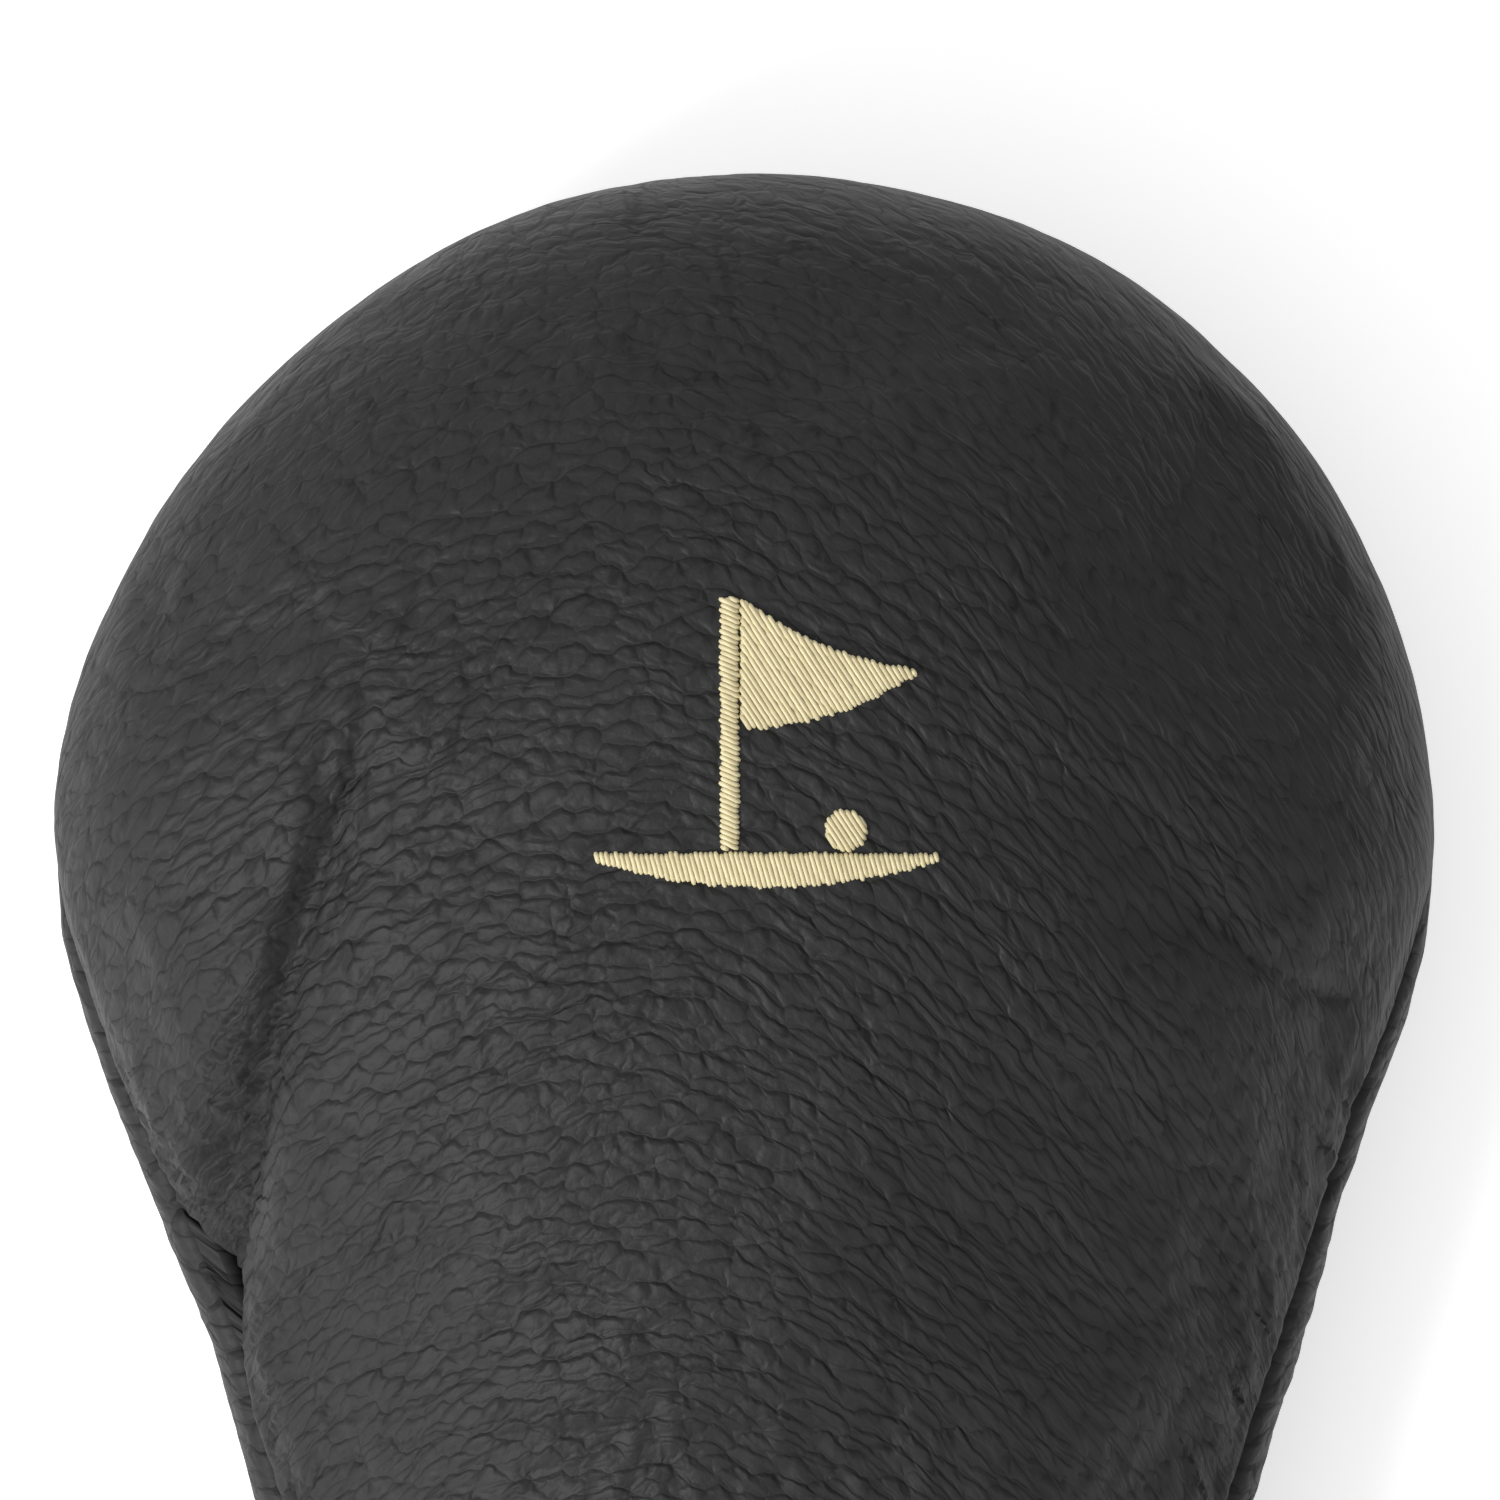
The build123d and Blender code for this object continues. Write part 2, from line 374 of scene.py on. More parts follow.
def frontRise(s, moved, toSeam, inner, shoulder, fine):
    # the folds and swells that only the front panel has
    off = foldOffset(s, moved)
    (firstShare, *first), (lastShare, *last) = drape["foldSteps"]
    end = drape["foldEnd"]
    strong = firstShare * ease((s - first[0]) / first[1]) + lastShare * ease((s - last[0]) / last[1])
    strong = strong * (1 - ease((s - end[0]) / end[1]))
    width = np.where(off < 0, *drape["foldReach"])
    wander = drape["foldWander"] * softNoise(s / 5.0, s * 0 + 3.5, 5)
    rise = -drape["foldDepth"] * strong * np.exp(-((off / width) ** 2))
    sharp, broad = drape["foldLineReach"]
    line = np.exp(-np.abs(off - wander) / sharp) if fine else 1.1 * np.exp(-((off / broad) ** 2))
    rise -= drape["foldLine"] * between(s, spans["foldLine"]) * line
    crumple = bump(off, *humps["crumple"]) * between(s, spans["crumple"])
    rise += drape["earPuff"] * bump(moved, *humps["earAcross"]) * bump(s, *humps["earAlong"]) * inner
    rise += drape["tonguePuff"] * bump(off, *humps["tongue"]) * between(s, spans["tongue"])
    rise -= drape["hollow"] * bump(off, *humps["hollowAcross"]) * bump(s, *humps["hollowAlong"])
    rise -= drape["rightDip"] * bump(moved, *humps["rightDip"]) * between(s, spans["rightDip"])
    # the short crease on the right is two lines that join
    smile = np.interp(moved, *zip(*drape["smilePath"]))
    window = between(moved, spans["smile"])
    gap, gapFrom, gapOver = drape["smileGap"]
    second = smile - gap * (1 - ease((moved - gapFrom) / gapOver))
    reach, secondReach = drape["smileReach"]
    rise -= drape["smileDepth"] * window * np.exp(-np.abs(s - smile) / reach)
    rise -= 0.6 * drape["smileDepth"] * window * np.exp(-np.abs(s - second) / secondReach)
    deep, past, long = drape["smileHollow"]
    rise -= deep * bump(s, smile + past, long) * window
    rise += drape["lip"] * shoulder * bump(toSeam, *humps["lip"])
    rise -= drape["seamPinch"] * shoulder * bump(toSeam, 0.0, drape["seamPinchReach"])
    rise -= drape["seamSlope"] * shoulder * bump(toSeam, *humps["slope"])
    if fine:
        folds = 1 - 2.6 * np.abs(hilly("folds", off + wander, s, 51))
        cross = 1 - 2.6 * np.abs(hilly("cross", moved - s * 0.5, s + moved * 0.5, 52))
        folds = mix(folds, cross, 0.6 * ease((s - 62) / 14))
        return rise + drape["crinkle"] * (folds - 0.6) * crumple
    atFold, atShoulder, atSmile = drape["underFold"]
    return rise - (atFold * crumple + atShoulder * shoulder + atSmile * window * bump(s, smile, 3.0))


def backRise(s, toSeam, shoulder, fine):
    pinch, pinchReach = drape["backPinch"]
    rise = drape["shoulderBulge"] * shoulder * bump(toSeam, *humps["bulge"])
    rise -= pinch * shoulder * bump(toSeam, 0.0, pinchReach)
    if fine:
        wide, high = hills["pucker"]
        pucker = 1 - 2.0 * np.abs(softNoise(s / wide + toSeam / 9, toSeam / high, 61))
        rise += drape["pucker"] * (pucker - 0.5) * shoulder * bump(toSeam, *humps["pucker"])
    return rise


def drapeShift(points, stations, at, total, top, fine):
    # how far each point of the outer face moves from the plain form
    normals = gridNormals(points)
    if (normals[..., 2].mean() > 0) != top:
        normals = -normals
    s = stations[:, None] + 0 * at
    x = points[..., 0]
    middle = total[:, None] / 2
    u = at - middle
    toSeam = middle - np.abs(u)
    crownLine = points[:, points.shape[1] // 2]
    steps = np.linalg.norm(np.diff(crownLine, axis=0), axis=1)
    along = np.concatenate([[0], np.cumsum(steps)])[:, None] + 0 * at
    half = profile(np.maximum(s, cover["bulbStation"]))[0]
    full = np.where(x < 0, through(s, drape["leftFull"]), through(s, drape["rightFull"]))
    moved = x * (1 + full / half)
    inner = ease(toSeam / drape["seamFade"])
    shoulder = between(s, spans["shoulder"])
    neck = cover["neckStation"]
    if top:
        rise = frontRise(s, moved, toSeam, inner, shoulder, fine)
    else:
        rise = backRise(s, toSeam, shoulder, fine)
    swell = softNoise(moved / hills["swell"][0] + (3 if top else 40), s / hills["swell"][1], 11)
    rise += drape["swell"] * swell * inner
    seed = 21 if top else 31
    pleat = softNoise(u / hills["pleat"][0] + 9, s / hills["pleat"][1], seed)
    pleat = pleat + 0.5 * hilly("smallPleat", u, s, seed + 1)
    gathered = bump(s, neck, 17) + 0.35 * bump(s, neck + 32, 22)
    rise += drape["pleatDepth"] * pleat * gathered * ease(toSeam / 3)
    rise -= drape["neckTuck"] * bump(s, neck, 10) * inner * (1 if top else drape["neckTuckBack"])
    if fine:
        v = along - archOf(u)
        near = bump(toSeam, 0.0, drape["gatherReach"]) * between(s, spans["gather"])
        warp = 0.7 * hilly("warp", u, v, seed + 2)
        wide, high = hills["gather"]
        gather = 1 - 2.4 * np.abs(softNoise(u / wide + warp, v / high, seed + 3))
        depth = drape["gatherDepth"] * (1 if top else drape["gatherBack"])
        rise += depth * (gather - 0.6) * near * ease(toSeam / 3.5)
        rise += drape["ripple"] * hilly("ripple", u, v, seed + 4) * ease(toSeam / 2)
    shift = normals * rise[..., None]
    shift[..., 0] += moved - x
    if fine:
        # the edge rolls in towards the seam
        roll = np.maximum(drape["seamRoll"] * ease(total[:, None] / 45), 1e-3)
        inside = np.clip(1 - toSeam / roll, 0, 1)
        flat = normals.copy()
        flat[..., 2] = 0
        shift -= unitRows(flat) * (roll * (1 - np.sqrt(1 - inside**2)))[..., None]
    shift[..., 2] *= ease(toSeam / 4 + 0.02)
    return shift, u, along


def domeRows(startTurn, count):
    # stations that crowd together at the tip, where the dome is steepest
    turn = np.linspace(math.radians(startTurn), math.pi / 2, count)
    return cover["bulbStation"] * (1 - np.cos(turn))


def stationRows(step, slowStep, fineEnd):
    dome = domeRows(1.2, int(78 / step))
    near = np.arange(cover["bulbStation"] + step, fineEnd, step)
    far = np.linspace(fineEnd, cover["length"], int((cover["length"] - fineEnd) / slowStep))
    return np.concatenate([dome, near, far])


def edgeSpread(columns):
    # columns stand close together beside the seam, where the leather turns in
    edge = (0, 0.12, 0.28, 0.48, 0.72, 1.0, 1.35, 1.8, 2.4, 3.1)

    def spread(total):
        ends = np.array(edge) * min(1.0, total / 40)
        inner = np.linspace(ends[-1], total - ends[-1], columns - 2 * len(edge) + 2)
        return np.concatenate([ends[:-1], inner, (total - ends[:-1])[::-1]])

    return spread


def evenSpread(columns):
    return lambda total: np.linspace(0, total, columns)


billow = {
    # the panels are filled as cloth before the fine wrinkles go on
    "domeRows": 22,
    "lowerRows": 52,
    "columns": 58,
    "frames": 20,
    "pressure": 4.0,
    "mass": 0.35,
    "stretch": 12.0,
    "shear": 6.0,
    "bend": 0.6,
    "cap": 2.2,
    "share": 0.7,
    "heldColumns": 2.5,  # beside the seam
    "heldFrom": (104, 14),
    "heldTip": 5.0,
    "heldBelow": 1.5,
    "seamFade": 9.0,  # columns over which the movement fades in
    "tipFade": (4, 22),
}


def skinObject(name, verts, faces):
    # a mesh object in metres, with its faces outward
    mesh = bpy.data.meshes.new(name)
    mesh.from_pydata((verts / 1000).tolist(), [], faces)
    work = bmesh.new()
    work.from_mesh(mesh)
    bmesh.ops.recalc_face_normals(work, faces=work.faces)
    work.to_mesh(mesh)
    work.free()
    piece = bpy.data.objects.new(name, mesh)
    bpy.context.scene.collection.objects.link(piece)
    return piece


def billowGrids():
    dome = np.linspace(0.6, 52, billow["domeRows"])
    stations = np.concatenate([dome, np.linspace(54.6, cover["length"] - 1, billow["lowerRows"])])
    grids = []
    for top in (True, False):
        points, at, total = plainGrid(stations, top, evenSpread(billow["columns"]))
        grids.append(points + drapeShift(points, stations, at, total, top, False)[0])
    return stations, grids


def heldShare(height, fromSeam, rowAt):
    # the seam, the neck, the mouth and the resting face hold still
    start, over = billow["heldFrom"]
    held = np.maximum(1 - fromSeam / billow["heldColumns"], 0)
    held = np.maximum(held, ease((rowAt - start) / over))
    held = np.maximum(held, 1 - ease(rowAt / billow["heldTip"]))
    return np.where(height < billow["heldBelow"], 1.0, held).ravel()


def inflated(cloth, held):
    group = cloth.vertex_groups.new(name="held")
    for index, weight in enumerate(held):
        if weight > 0.02:
            group.add([index], float(weight), "REPLACE")
    modifier = cloth.modifiers.new("cloth", "CLOTH")
    settings = modifier.settings
    settings.quality = 6
    settings.mass = billow["mass"]
    settings.tension_stiffness = settings.compression_stiffness = billow["stretch"]
    settings.shear_stiffness = billow["shear"]
    settings.bending_stiffness = billow["bend"]
    settings.use_pressure = True
    settings.uniform_pressure_force = billow["pressure"]
    settings.effector_weights.gravity = 0
    settings.vertex_group_mass = "held"
    settings.shrink_min = -0.02
    modifier.point_cache.frame_start, modifier.point_cache.frame_end = 1, billow["frames"]
    for frameNumber in range(1, billow["frames"] + 1):
        bpy.context.scene.frame_set(frameNumber)
    ready = cloth.evaluated_get(bpy.context.evaluated_depsgraph_get())
    moved = np.zeros(len(held) * 3, np.float32)
    ready.data.vertices.foreach_get("co", moved)
    bpy.data.objects.remove(cloth)
    bpy.context.scene.frame_set(1)
    return moved.astype(float) * 1000


def billowed():
    # fills the coarse cover with a little pressure and returns how far each place of both panels moved
    stations, (front, back) = billowGrids()
    columns = billow["columns"]
    ring = np.concatenate([front, back[:, -2:0:-1]], axis=1)
    verts, faces, _ = closedRows(ring, np.zeros((*ring.shape[:2], 2)))
    around = ring.shape[1]
    column = np.arange(around)[None, :] + 0 * ring[..., 0]
    fromSeam = np.minimum(np.abs(column), np.minimum(np.abs(column - columns + 1), around - column))
    rowAt = stations[:, None] + 0 * column
    cloth = skinObject("billow", verts, faces)
    shift = inflated(cloth, heldShare(ring[..., 2], fromSeam, rowAt)).reshape(ring.shape) - ring
    length = np.linalg.norm(shift, axis=-1, keepdims=True)
    cap = billow["cap"]
    tipStart, tipOver = billow["tipFade"]
    shift *= cap * np.tanh(length / cap) / np.maximum(length, 1e-6) * billow["share"]
    shift *= (ease(fromSeam / billow["seamFade"]) * ease((rowAt - tipStart) / tipOver))[..., None]
    print("panels filled: moved up to", round(float(length.max()), 2), "mm")
    lower = shift[:, columns:][:, ::-1]
    backShift = np.concatenate([shift[:, :1], lower, shift[:, columns - 1 : columns]], axis=1)
    return stations, [shift[:, :columns], backShift]


def closedRows(rows, coords):
    # rows of closed loops become a skin with its two ends capped
    count, around = rows.shape[:2]
    index = np.arange(count * around).reshape(count, around)
    after = np.roll(index, -1, axis=1)
    quads = np.stack([index[:-1], after[:-1], after[1:], index[1:]], -1).reshape(-1, 4)
    faces = quads.tolist() + [index[0][::-1].tolist(), index[-1].tolist()]
    return rows.reshape(-1, 3), faces, coords.reshape(-1, 2)


billowStations, billowShifts = billowed()


def billowAt(stations, share, top):
    # the fill at any place, blended between the coarse cloth's points
    field = billowShifts[0 if top else 1]
    share = np.broadcast_to(share, (len(stations), share.shape[-1]))
    at = np.interp(stations, billowStations, np.arange(len(billowStations)))
    low = np.clip(np.floor(at).astype(int), 0, len(billowStations) - 2)[:, None]
    part = ease(at[:, None] - low)[..., None]
    spot = share * (billow["columns"] - 1)
    picked = np.clip(np.floor(spot).astype(int), 0, billow["columns"] - 2)
    rest = ease(spot - picked)[..., None]
    near = mix(field[low, picked], field[low, picked + 1], rest)
    return mix(near, mix(field[low + 1, picked], field[low + 1, picked + 1], rest), part)


def leatherGrid(stations, top, spread, seam):
    points, at, total = plainGrid(stations, top, spread)
    shift, u, along = drapeShift(points, stations, at, total, top, True)
    points = points + shift + billowAt(stations, at / total[:, None], top)
    points[..., 2] = np.maximum(points[..., 2], seam) if top else np.clip(points[..., 2], 0.02, seam)
    return points, np.stack([u, along], -1)


fieldColumns = 181


def slowShift(top):
    # the drape without its finest wrinkles, which every inner ply follows
    stations = np.concatenate([[0.05, 0.3], np.arange(1.0, 217.0, 1.0)])
    points, at, total = plainGrid(stations, top, evenSpread(fieldColumns))
    shift, _, along = drapeShift(points, stations, at, total, top, False)
    shift = shift + billowAt(stations, at / total[:, None], top)
    return stations, shift, along[:, 0], total


shiftFields = {top: slowShift(top) for top in (True, False)}


def plyGrid(stations, top, columns, seam, insets):
    fieldStations, field, alongField, totalField = shiftFields[top]
    share = np.linspace(0, 1, columns)
    spread = evenSpread(columns)
    rows = [halfRing(station, inset, top, seam, spread)[0] for station, inset in zip(stations, insets)]
    points = np.array(rows)
    at = np.interp(stations, fieldStations, np.arange(len(fieldStations)))
    low = np.clip(np.floor(at).astype(int), 0, len(fieldStations) - 2)
    part = (at - low)[:, None, None]
    picked = np.clip((share * (fieldColumns - 1)).astype(int), 0, fieldColumns - 2)
    rest = (share * (fieldColumns - 1) - picked)[None, :, None]
    lower = mix(field[low][:, picked], field[low][:, picked + 1], rest)
    upper = mix(field[low + 1][:, picked], field[low + 1][:, picked + 1], rest)
    points = points + mix(lower, upper, part)
    if top:
        points[..., 2] = np.maximum(points[..., 2], seam)
    else:
        points[..., 2] = np.clip(points[..., 2], 0.25, seam)
    u = (share[None, :] - 0.5) * np.interp(stations, fieldStations, totalField)[:, None]
    along = np.interp(stations, fieldStations, alongField)[:, None] + 0 * u
    return points, np.stack([u, along], -1)


class Wire:
    # a socket in a node tree that can be added, scaled and compared like a number

    def __init__(self, tree, socket):
        self.tree = tree
        self.socket = socket

    def math(self, kind, *others, clamp=False):
        node = self.tree.nodes.new("ShaderNodeMath")
        node.operation = kind
        node.use_clamp = clamp
        for place, value in enumerate((self, *others)):
            plug(self.tree, node.inputs[place], value)
        return Wire(self.tree, node.outputs[0])

    def vectorMath(self, kind, *others):
        node = self.tree.nodes.new("ShaderNodeVectorMath")
        node.operation = kind
        for place, value in enumerate((self, *others)):
            plug(self.tree, node.inputs[place], value)
        return Wire(self.tree, node.outputs[0])

    def __add__(self, other):
        return self.math("ADD", other)

    __radd__ = __add__

    def __sub__(self, other):
        return self.math("SUBTRACT", other)

    def __rsub__(self, other):
        return (self * -1) + other

    def __mul__(self, other):
        return self.math("MULTIPLY", other)

    def __truediv__(self, other):
        return self.math("DIVIDE", other)

    def step(self, low, high):
        # 0 below low, 1 above high, smooth between
        node = self.tree.nodes.new("ShaderNodeMapRange")
        node.interpolation_type = "SMOOTHSTEP"
        for name, value in (("Value", self), ("From Min", low), ("From Max", high)):
            plug(self.tree, node.inputs[name], value)
        return Wire(self.tree, node.outputs["Result"])


def plug(tree, socket, value):
    if isinstance(value, Wire):
        tree.links.new(value.socket, socket)
    else:
        socket.default_value = value


class Finish:
    # a material with its shader, and one method that makes any node

    def __init__(self, name, **fixed):
        self.material = bpy.data.materials.new(name)
        self.material.use_nodes = True
        self.tree = self.material.node_tree
        self.shader = self.tree.nodes["Principled BSDF"]
        for socket, value in fixed.items():
            self.shader.inputs[socket.replace("_", " ")].default_value = value

    def node(self, kind, settings=None, out=0, **values):
        node = self.tree.nodes.new("ShaderNode" + kind)
        for key, value in (settings or {}).items():
            setattr(node, key, value)
        for key, value in values.items():
            plug(self.tree, node.inputs[key.replace("_", " ")], value)
        return Wire(self.tree, node.outputs[out])

    def place(self):
        return self.node("TexCoord", out="Object")

    def attribute(self, name):
        return self.node("Attribute", {"attribute_name": name}, out="Vector")

    def split(self, vector):
        parts = self.tree.nodes.new("ShaderNodeSeparateXYZ")
        plug(self.tree, parts.inputs[0], vector)
        return [Wire(self.tree, parts.outputs[axis]) for axis in range(3)]

    def join(self, x, y, z=0.0):
        return self.node("CombineXYZ", X=x, Y=y, Z=z)

    def noise(self, vector, scale, detail=2.0, rough=0.5, out=0):
        return self.node("TexNoise", out=out, Vector=vector, Scale=scale, Detail=detail, Roughness=rough)

    def cells(self, vector, feature, out=0, flat=True):
        settings = {"feature": feature, "voronoi_dimensions": "2D" if flat else "3D"}
        return self.node("TexVoronoi", settings, out=out, Vector=vector, Scale=1.0, Randomness=1.0)

    def blend(self, share, low, high):
        node = self.tree.nodes.new("ShaderNodeMix")
        node.data_type = "RGBA"
        plug(self.tree, node.inputs["Factor"], share)
        for socket, value in ((node.inputs[6], low), (node.inputs[7], high)):
            plug(self.tree, socket, value)
        return Wire(self.tree, node.outputs[2])

    def clamped(self, value):
        return value.math("ADD", 0.0, clamp=True)

    def relief(self, height, distance):
        bumpNode = self.node("Bump", Height=height, Distance=distance, Strength=1.0)
        plug(self.tree, self.shader.inputs["Normal"], bumpNode)

    def feed(self, socket, value):
        plug(self.tree, self.shader.inputs[socket], value)


hide = {
    "cellWide": 2.7,  # grain cells, in millimetres
    "cellHigh": 1.65,
    "relief": 0.00029,
    "gloss": 0.22,
    "dark": (0.0030, 0.0030, 0.0032, 1),
    "light": (0.0250, 0.0247, 0.0250, 1),
    "sway": (0.13, 1.3, 2.2),  # scale, and cells moved across and along
    "fray": (0.75, 0.42, 0.50),
    "behind": (0.25, -0.30),
    "creaseEdge": 0.14,
    "shadowEdge": 0.38,
    "longAcross": 0.22,  # long wrinkles to a cell
    "longAlong": 0.42,
    "longEdge": 0.07,
    "pore": 3.2,
}


def leatherFinish(name, settings, shine=0.5):
    skin = Finish(name, Specular_IOR_Level=settings["gloss"])
    u, v, _ = skin.split(skin.attribute("hide"))
    u, v = u * 1000, v * 1000
    # the same arches as archOf gives, made of nodes
    away = u - drape["archCentre"]
    onRight = away.math("GREATER_THAN", 0.0)
    (leftRadius, leftLimit), (rightRadius, rightLimit) = drape["archLeft"], drape["archRight"]
    radius = onRight * (rightRadius - leftRadius) + leftRadius
    limit = onRight * (rightLimit - leftLimit) + leftLimit
    tilt = away / (radius * limit)
    v = v - ((tilt * tilt + 1).math("SQRT") - 1) * (limit * limit * radius)
    raw = skin.join(u, v)

    def drift(scale, detail):
        colour = skin.noise(raw, scale, detail, out="Color")
        return skin.split(colour.vectorMath("SUBTRACT", (0.5, 0.5, 0.5)))

    swayScale, swayWide, swayHigh = settings["sway"]
    frayScale, frayWide, frayHigh = settings["fray"]
    swayX, swayY, _ = drift(swayScale, 2.0)
    gridX = u / settings["cellWide"] + swayX * swayWide
    gridY = v / settings["cellHigh"] + swayY * swayHigh
    frayX, frayY, _ = drift(frayScale, 1.0)
    cellX, cellY = gridX + frayX * frayWide, gridY + frayY * frayHigh
    # each pebble is a low dome that laps over the one behind it, with a crease under its far edge
    cell = skin.join(cellX, cellY)
    centreX, centreY, _ = skin.split(skin.cells(cell, "F1", out="Position"))
    across, slope = cellX - centreX, cellY - centreY
    edge = skin.cells(cell, "DISTANCE_TO_EDGE")
    behind = slope.step(*settings["behind"])
    crease = (1 - edge.step(0.0, settings["creaseEdge"])) * (behind * 0.92 + 0.08)
    # painted shade: the upper part of each pebble is darkened towards its edge, where occlusion would fall
    shadow = (1 - edge.step(0.0, settings["shadowEdge"])) * behind
    smallAway = skin.cells(skin.join(cellX * 2.2 + 7.0, cellY * 2.0 + 3.0), "F1")
    patch = skin.noise(raw, 0.11, 2.0).step(0.36, 0.66)
    # longer wrinkles that join rows of pebbles
    longX = gridX * settings["longAcross"] + frayX * 0.12 + 5.0
    longY = gridY * settings["longAlong"] + frayY * 0.30
    long = skin.join(longX, longY)
    longSlope = longY - skin.split(skin.cells(long, "F1", out="Position"))[1]
    longPatch = skin.split(skin.noise(raw, 0.09, 1.0, out="Color"))[2].step(0.36, 0.62)
    longLine = (1 - skin.cells(long, "DISTANCE_TO_EDGE").step(0.0, settings["longEdge"])) * longPatch
    pores = skin.noise(skin.join(u, v), settings["pore"], 3.0, 0.6)
    height = 1 - across * across * 0.50 - slope * slope * 0.90
    height = height - slope * edge.step(0.0, 0.30) * 0.95 - crease * 0.03
    height = height - smallAway * smallAway * (patch * 0.25 + 0.10) - longSlope * longPatch * 0.4
    height = height - longLine * 0.22 + pores * 0.12
    skin.relief(height, settings["relief"])
    # base colour: painted shade darkens the creases, the shaded upper edge of each pebble and the long
    # wrinkles; the pores only vary the tone
    shade = 0.78 - crease * 0.10 - shadow * 0.30 - longLine * 0.24 + pores * 0.5 - 0.2
    skin.feed("Base Color", skin.blend(skin.clamped(shade), settings["dark"], settings["light"]))
    skin.feed("Roughness", crease * 0.12 + longLine * 0.1 + pores * 0.08 - patch * 0.03 + shine)
    return skin.material


def fibreFinish(name, low, high, grain, relief, rough=0.85, sheen=0.0):
    # matted fibres: foam, fleece and felt-like backings
    fibre = Finish(name, Specular_IOR_Level=0.25, Sheen_Weight=sheen, Sheen_Roughness=0.4)
    spot = fibre.place()
    broad = fibre.noise(spot, grain * 0.22, 2.0)
    fine = fibre.noise(spot, grain, 4.0, 0.65)
    pits = fibre.cells(spot.vectorMath("MULTIPLY", (grain * 1.4,) * 3), "F1", flat=False)
    level = fibre.clamped(broad * 0.5 + fine * 0.8 - 0.18 + pits * 0.1)
    fibre.feed("Base Color", fibre.blend(level, low, high))
    fibre.feed("Roughness", rough + fine * 0.1)
    fibre.relief(fine + pits * 0.6, relief)
    return fibre.material


def wovenFinish(name, low, high, wide, relief, rough=0.7):
    # tape and elastic: ribs along the strip with threads across
    woven = Finish(name, Specular_IOR_Level=0.3)
    u, v, _ = woven.split(woven.attribute("hide"))
    ribs = (u * (2000 * math.pi / wide)).math("SINE")
    threads = (v * (2000 * math.pi / (wide * 0.6)) + ribs * 0.8).math("SINE")
    cloth = woven.noise(woven.place(), 900.0, 3.0)
    weave = ribs * 0.25 + threads * 0.25 + 0.5
    level = woven.clamped(weave * 0.8 + cloth * 0.3 - 0.1)
    woven.feed("Base Color", woven.blend(level, low, high))
    woven.feed("Roughness", rough + cloth * 0.15)
    woven.relief(weave + cloth * 0.3, relief)
    return woven.material


def threadFinish(name, low, high, twist, relief, rough=0.5, sheen=0.2):
    # plied thread, with strands that wind along it
    thread = Finish(name, Specular_IOR_Level=0.4, Sheen_Weight=sheen, Sheen_Roughness=0.35)
    spot = thread.place()
    x, y, z = thread.split(spot)
    wind = ((x * 0.8 + y * 0.5 + z * 0.9) * twist).math("SINE")
    hair = thread.noise(spot, 2600.0, 3.0, 0.6)
    broad = thread.noise(spot, 140.0, 2.0)
    level = thread.clamped(wind * 0.16 + hair * 0.45 + broad * 0.55 - 0.02)
    thread.feed("Base Color", thread.blend(level, low, high))
    thread.feed("Roughness", rough + hair * 0.15 - wind * 0.05)
    thread.relief(wind * 0.5 + hair * 0.5, relief)
    return thread.material


def tones(dark, light):
    return (*dark, 1), (*light, 1)


backHide = dict(hide, cellWide=2.2, cellHigh=2.1, relief=0.00030)
bindingHide = dict(hide, cellWide=1.5, cellHigh=1.1, relief=0.00010)
foamTones = tones((0.62, 0.59, 0.50), (0.84, 0.82, 0.75))
fleeceTones = tones((0.010, 0.010, 0.012), (0.045, 0.045, 0.050))
backingTones = tones((0.55, 0.55, 0.53), (0.86, 0.86, 0.84))
elasticTones = tones((0.45, 0.45, 0.43), (0.82, 0.82, 0.80))
tapeTones = tones((0.008, 0.008, 0.009), (0.035, 0.035, 0.038))
blackTones = tones((0.006, 0.006, 0.006), (0.030, 0.030, 0.032))
goldTones = tones((0.56, 0.48, 0.28), (0.88, 0.79, 0.50))

leather = leatherFinish("blackPebbledLeather", hide)
backLeather = leatherFinish("blackBackLeather", backHide)
bindingLeather = leatherFinish("blackBindingLeather", bindingHide, 0.44)
foam = fibreFinish("paddingFoam", *foamTones, 900.0, 0.0003)
fleece = fibreFinish("charcoalFleece", *fleeceTones, 1100.0, 0.0004, 0.9, 0.35)
stabiliser = fibreFinish("whiteStabiliser", *backingTones, 1500.0, 0.0001)
elasticWeave = wovenFinish("whiteElastic", *elasticTones, 1.1, 0.00018)
casingWeave = wovenFinish("blackCasingTape", *tapeTones, 0.7, 0.0001)
blackThread = threadFinish("blackThread", *blackTones, 9000.0, 0.00005)
goldThread = threadFinish("paleGoldThread", *goldTones, 5200.0, 0.00003, 0.42, 0.15)
print("finishes made")


def meshPiece(name, verts, faces, material, nodes, coords=None):
    mesh = bpy.data.meshes.new(name)
    mesh.from_pydata((np.asarray(verts) / 1000).tolist(), [], faces)
    mesh.validate()
    if coords is not None:
        layer = mesh.attributes.new("hide", "FLOAT_VECTOR", "POINT")
        flat = np.zeros((len(verts), 3), np.float32)
        flat[:, :2] = np.asarray(coords) / 1000
        layer.data.foreach_set("vector", flat.ravel())
    mesh.materials.append(material)
    piece = bpy.data.objects.new(name, mesh)
    bpy.context.scene.collection.objects.link(piece)
    return settle(piece, nodes)


def settle(piece, nodes):
    mesh = piece.data
    work = bmesh.new()
    work.from_mesh(mesh)
    bmesh.ops.remove_doubles(work, verts=work.verts, dist=2e-6)
    bmesh.ops.dissolve_degenerate(work, edges=work.edges, dist=1e-6)
    bmesh.ops.recalc_face_normals(work, faces=work.faces)
    for face in work.faces:
        face.smooth = True
    work.to_mesh(mesh)
    work.free()
    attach(piece, coverBody)
    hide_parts(*nodes)
    return piece


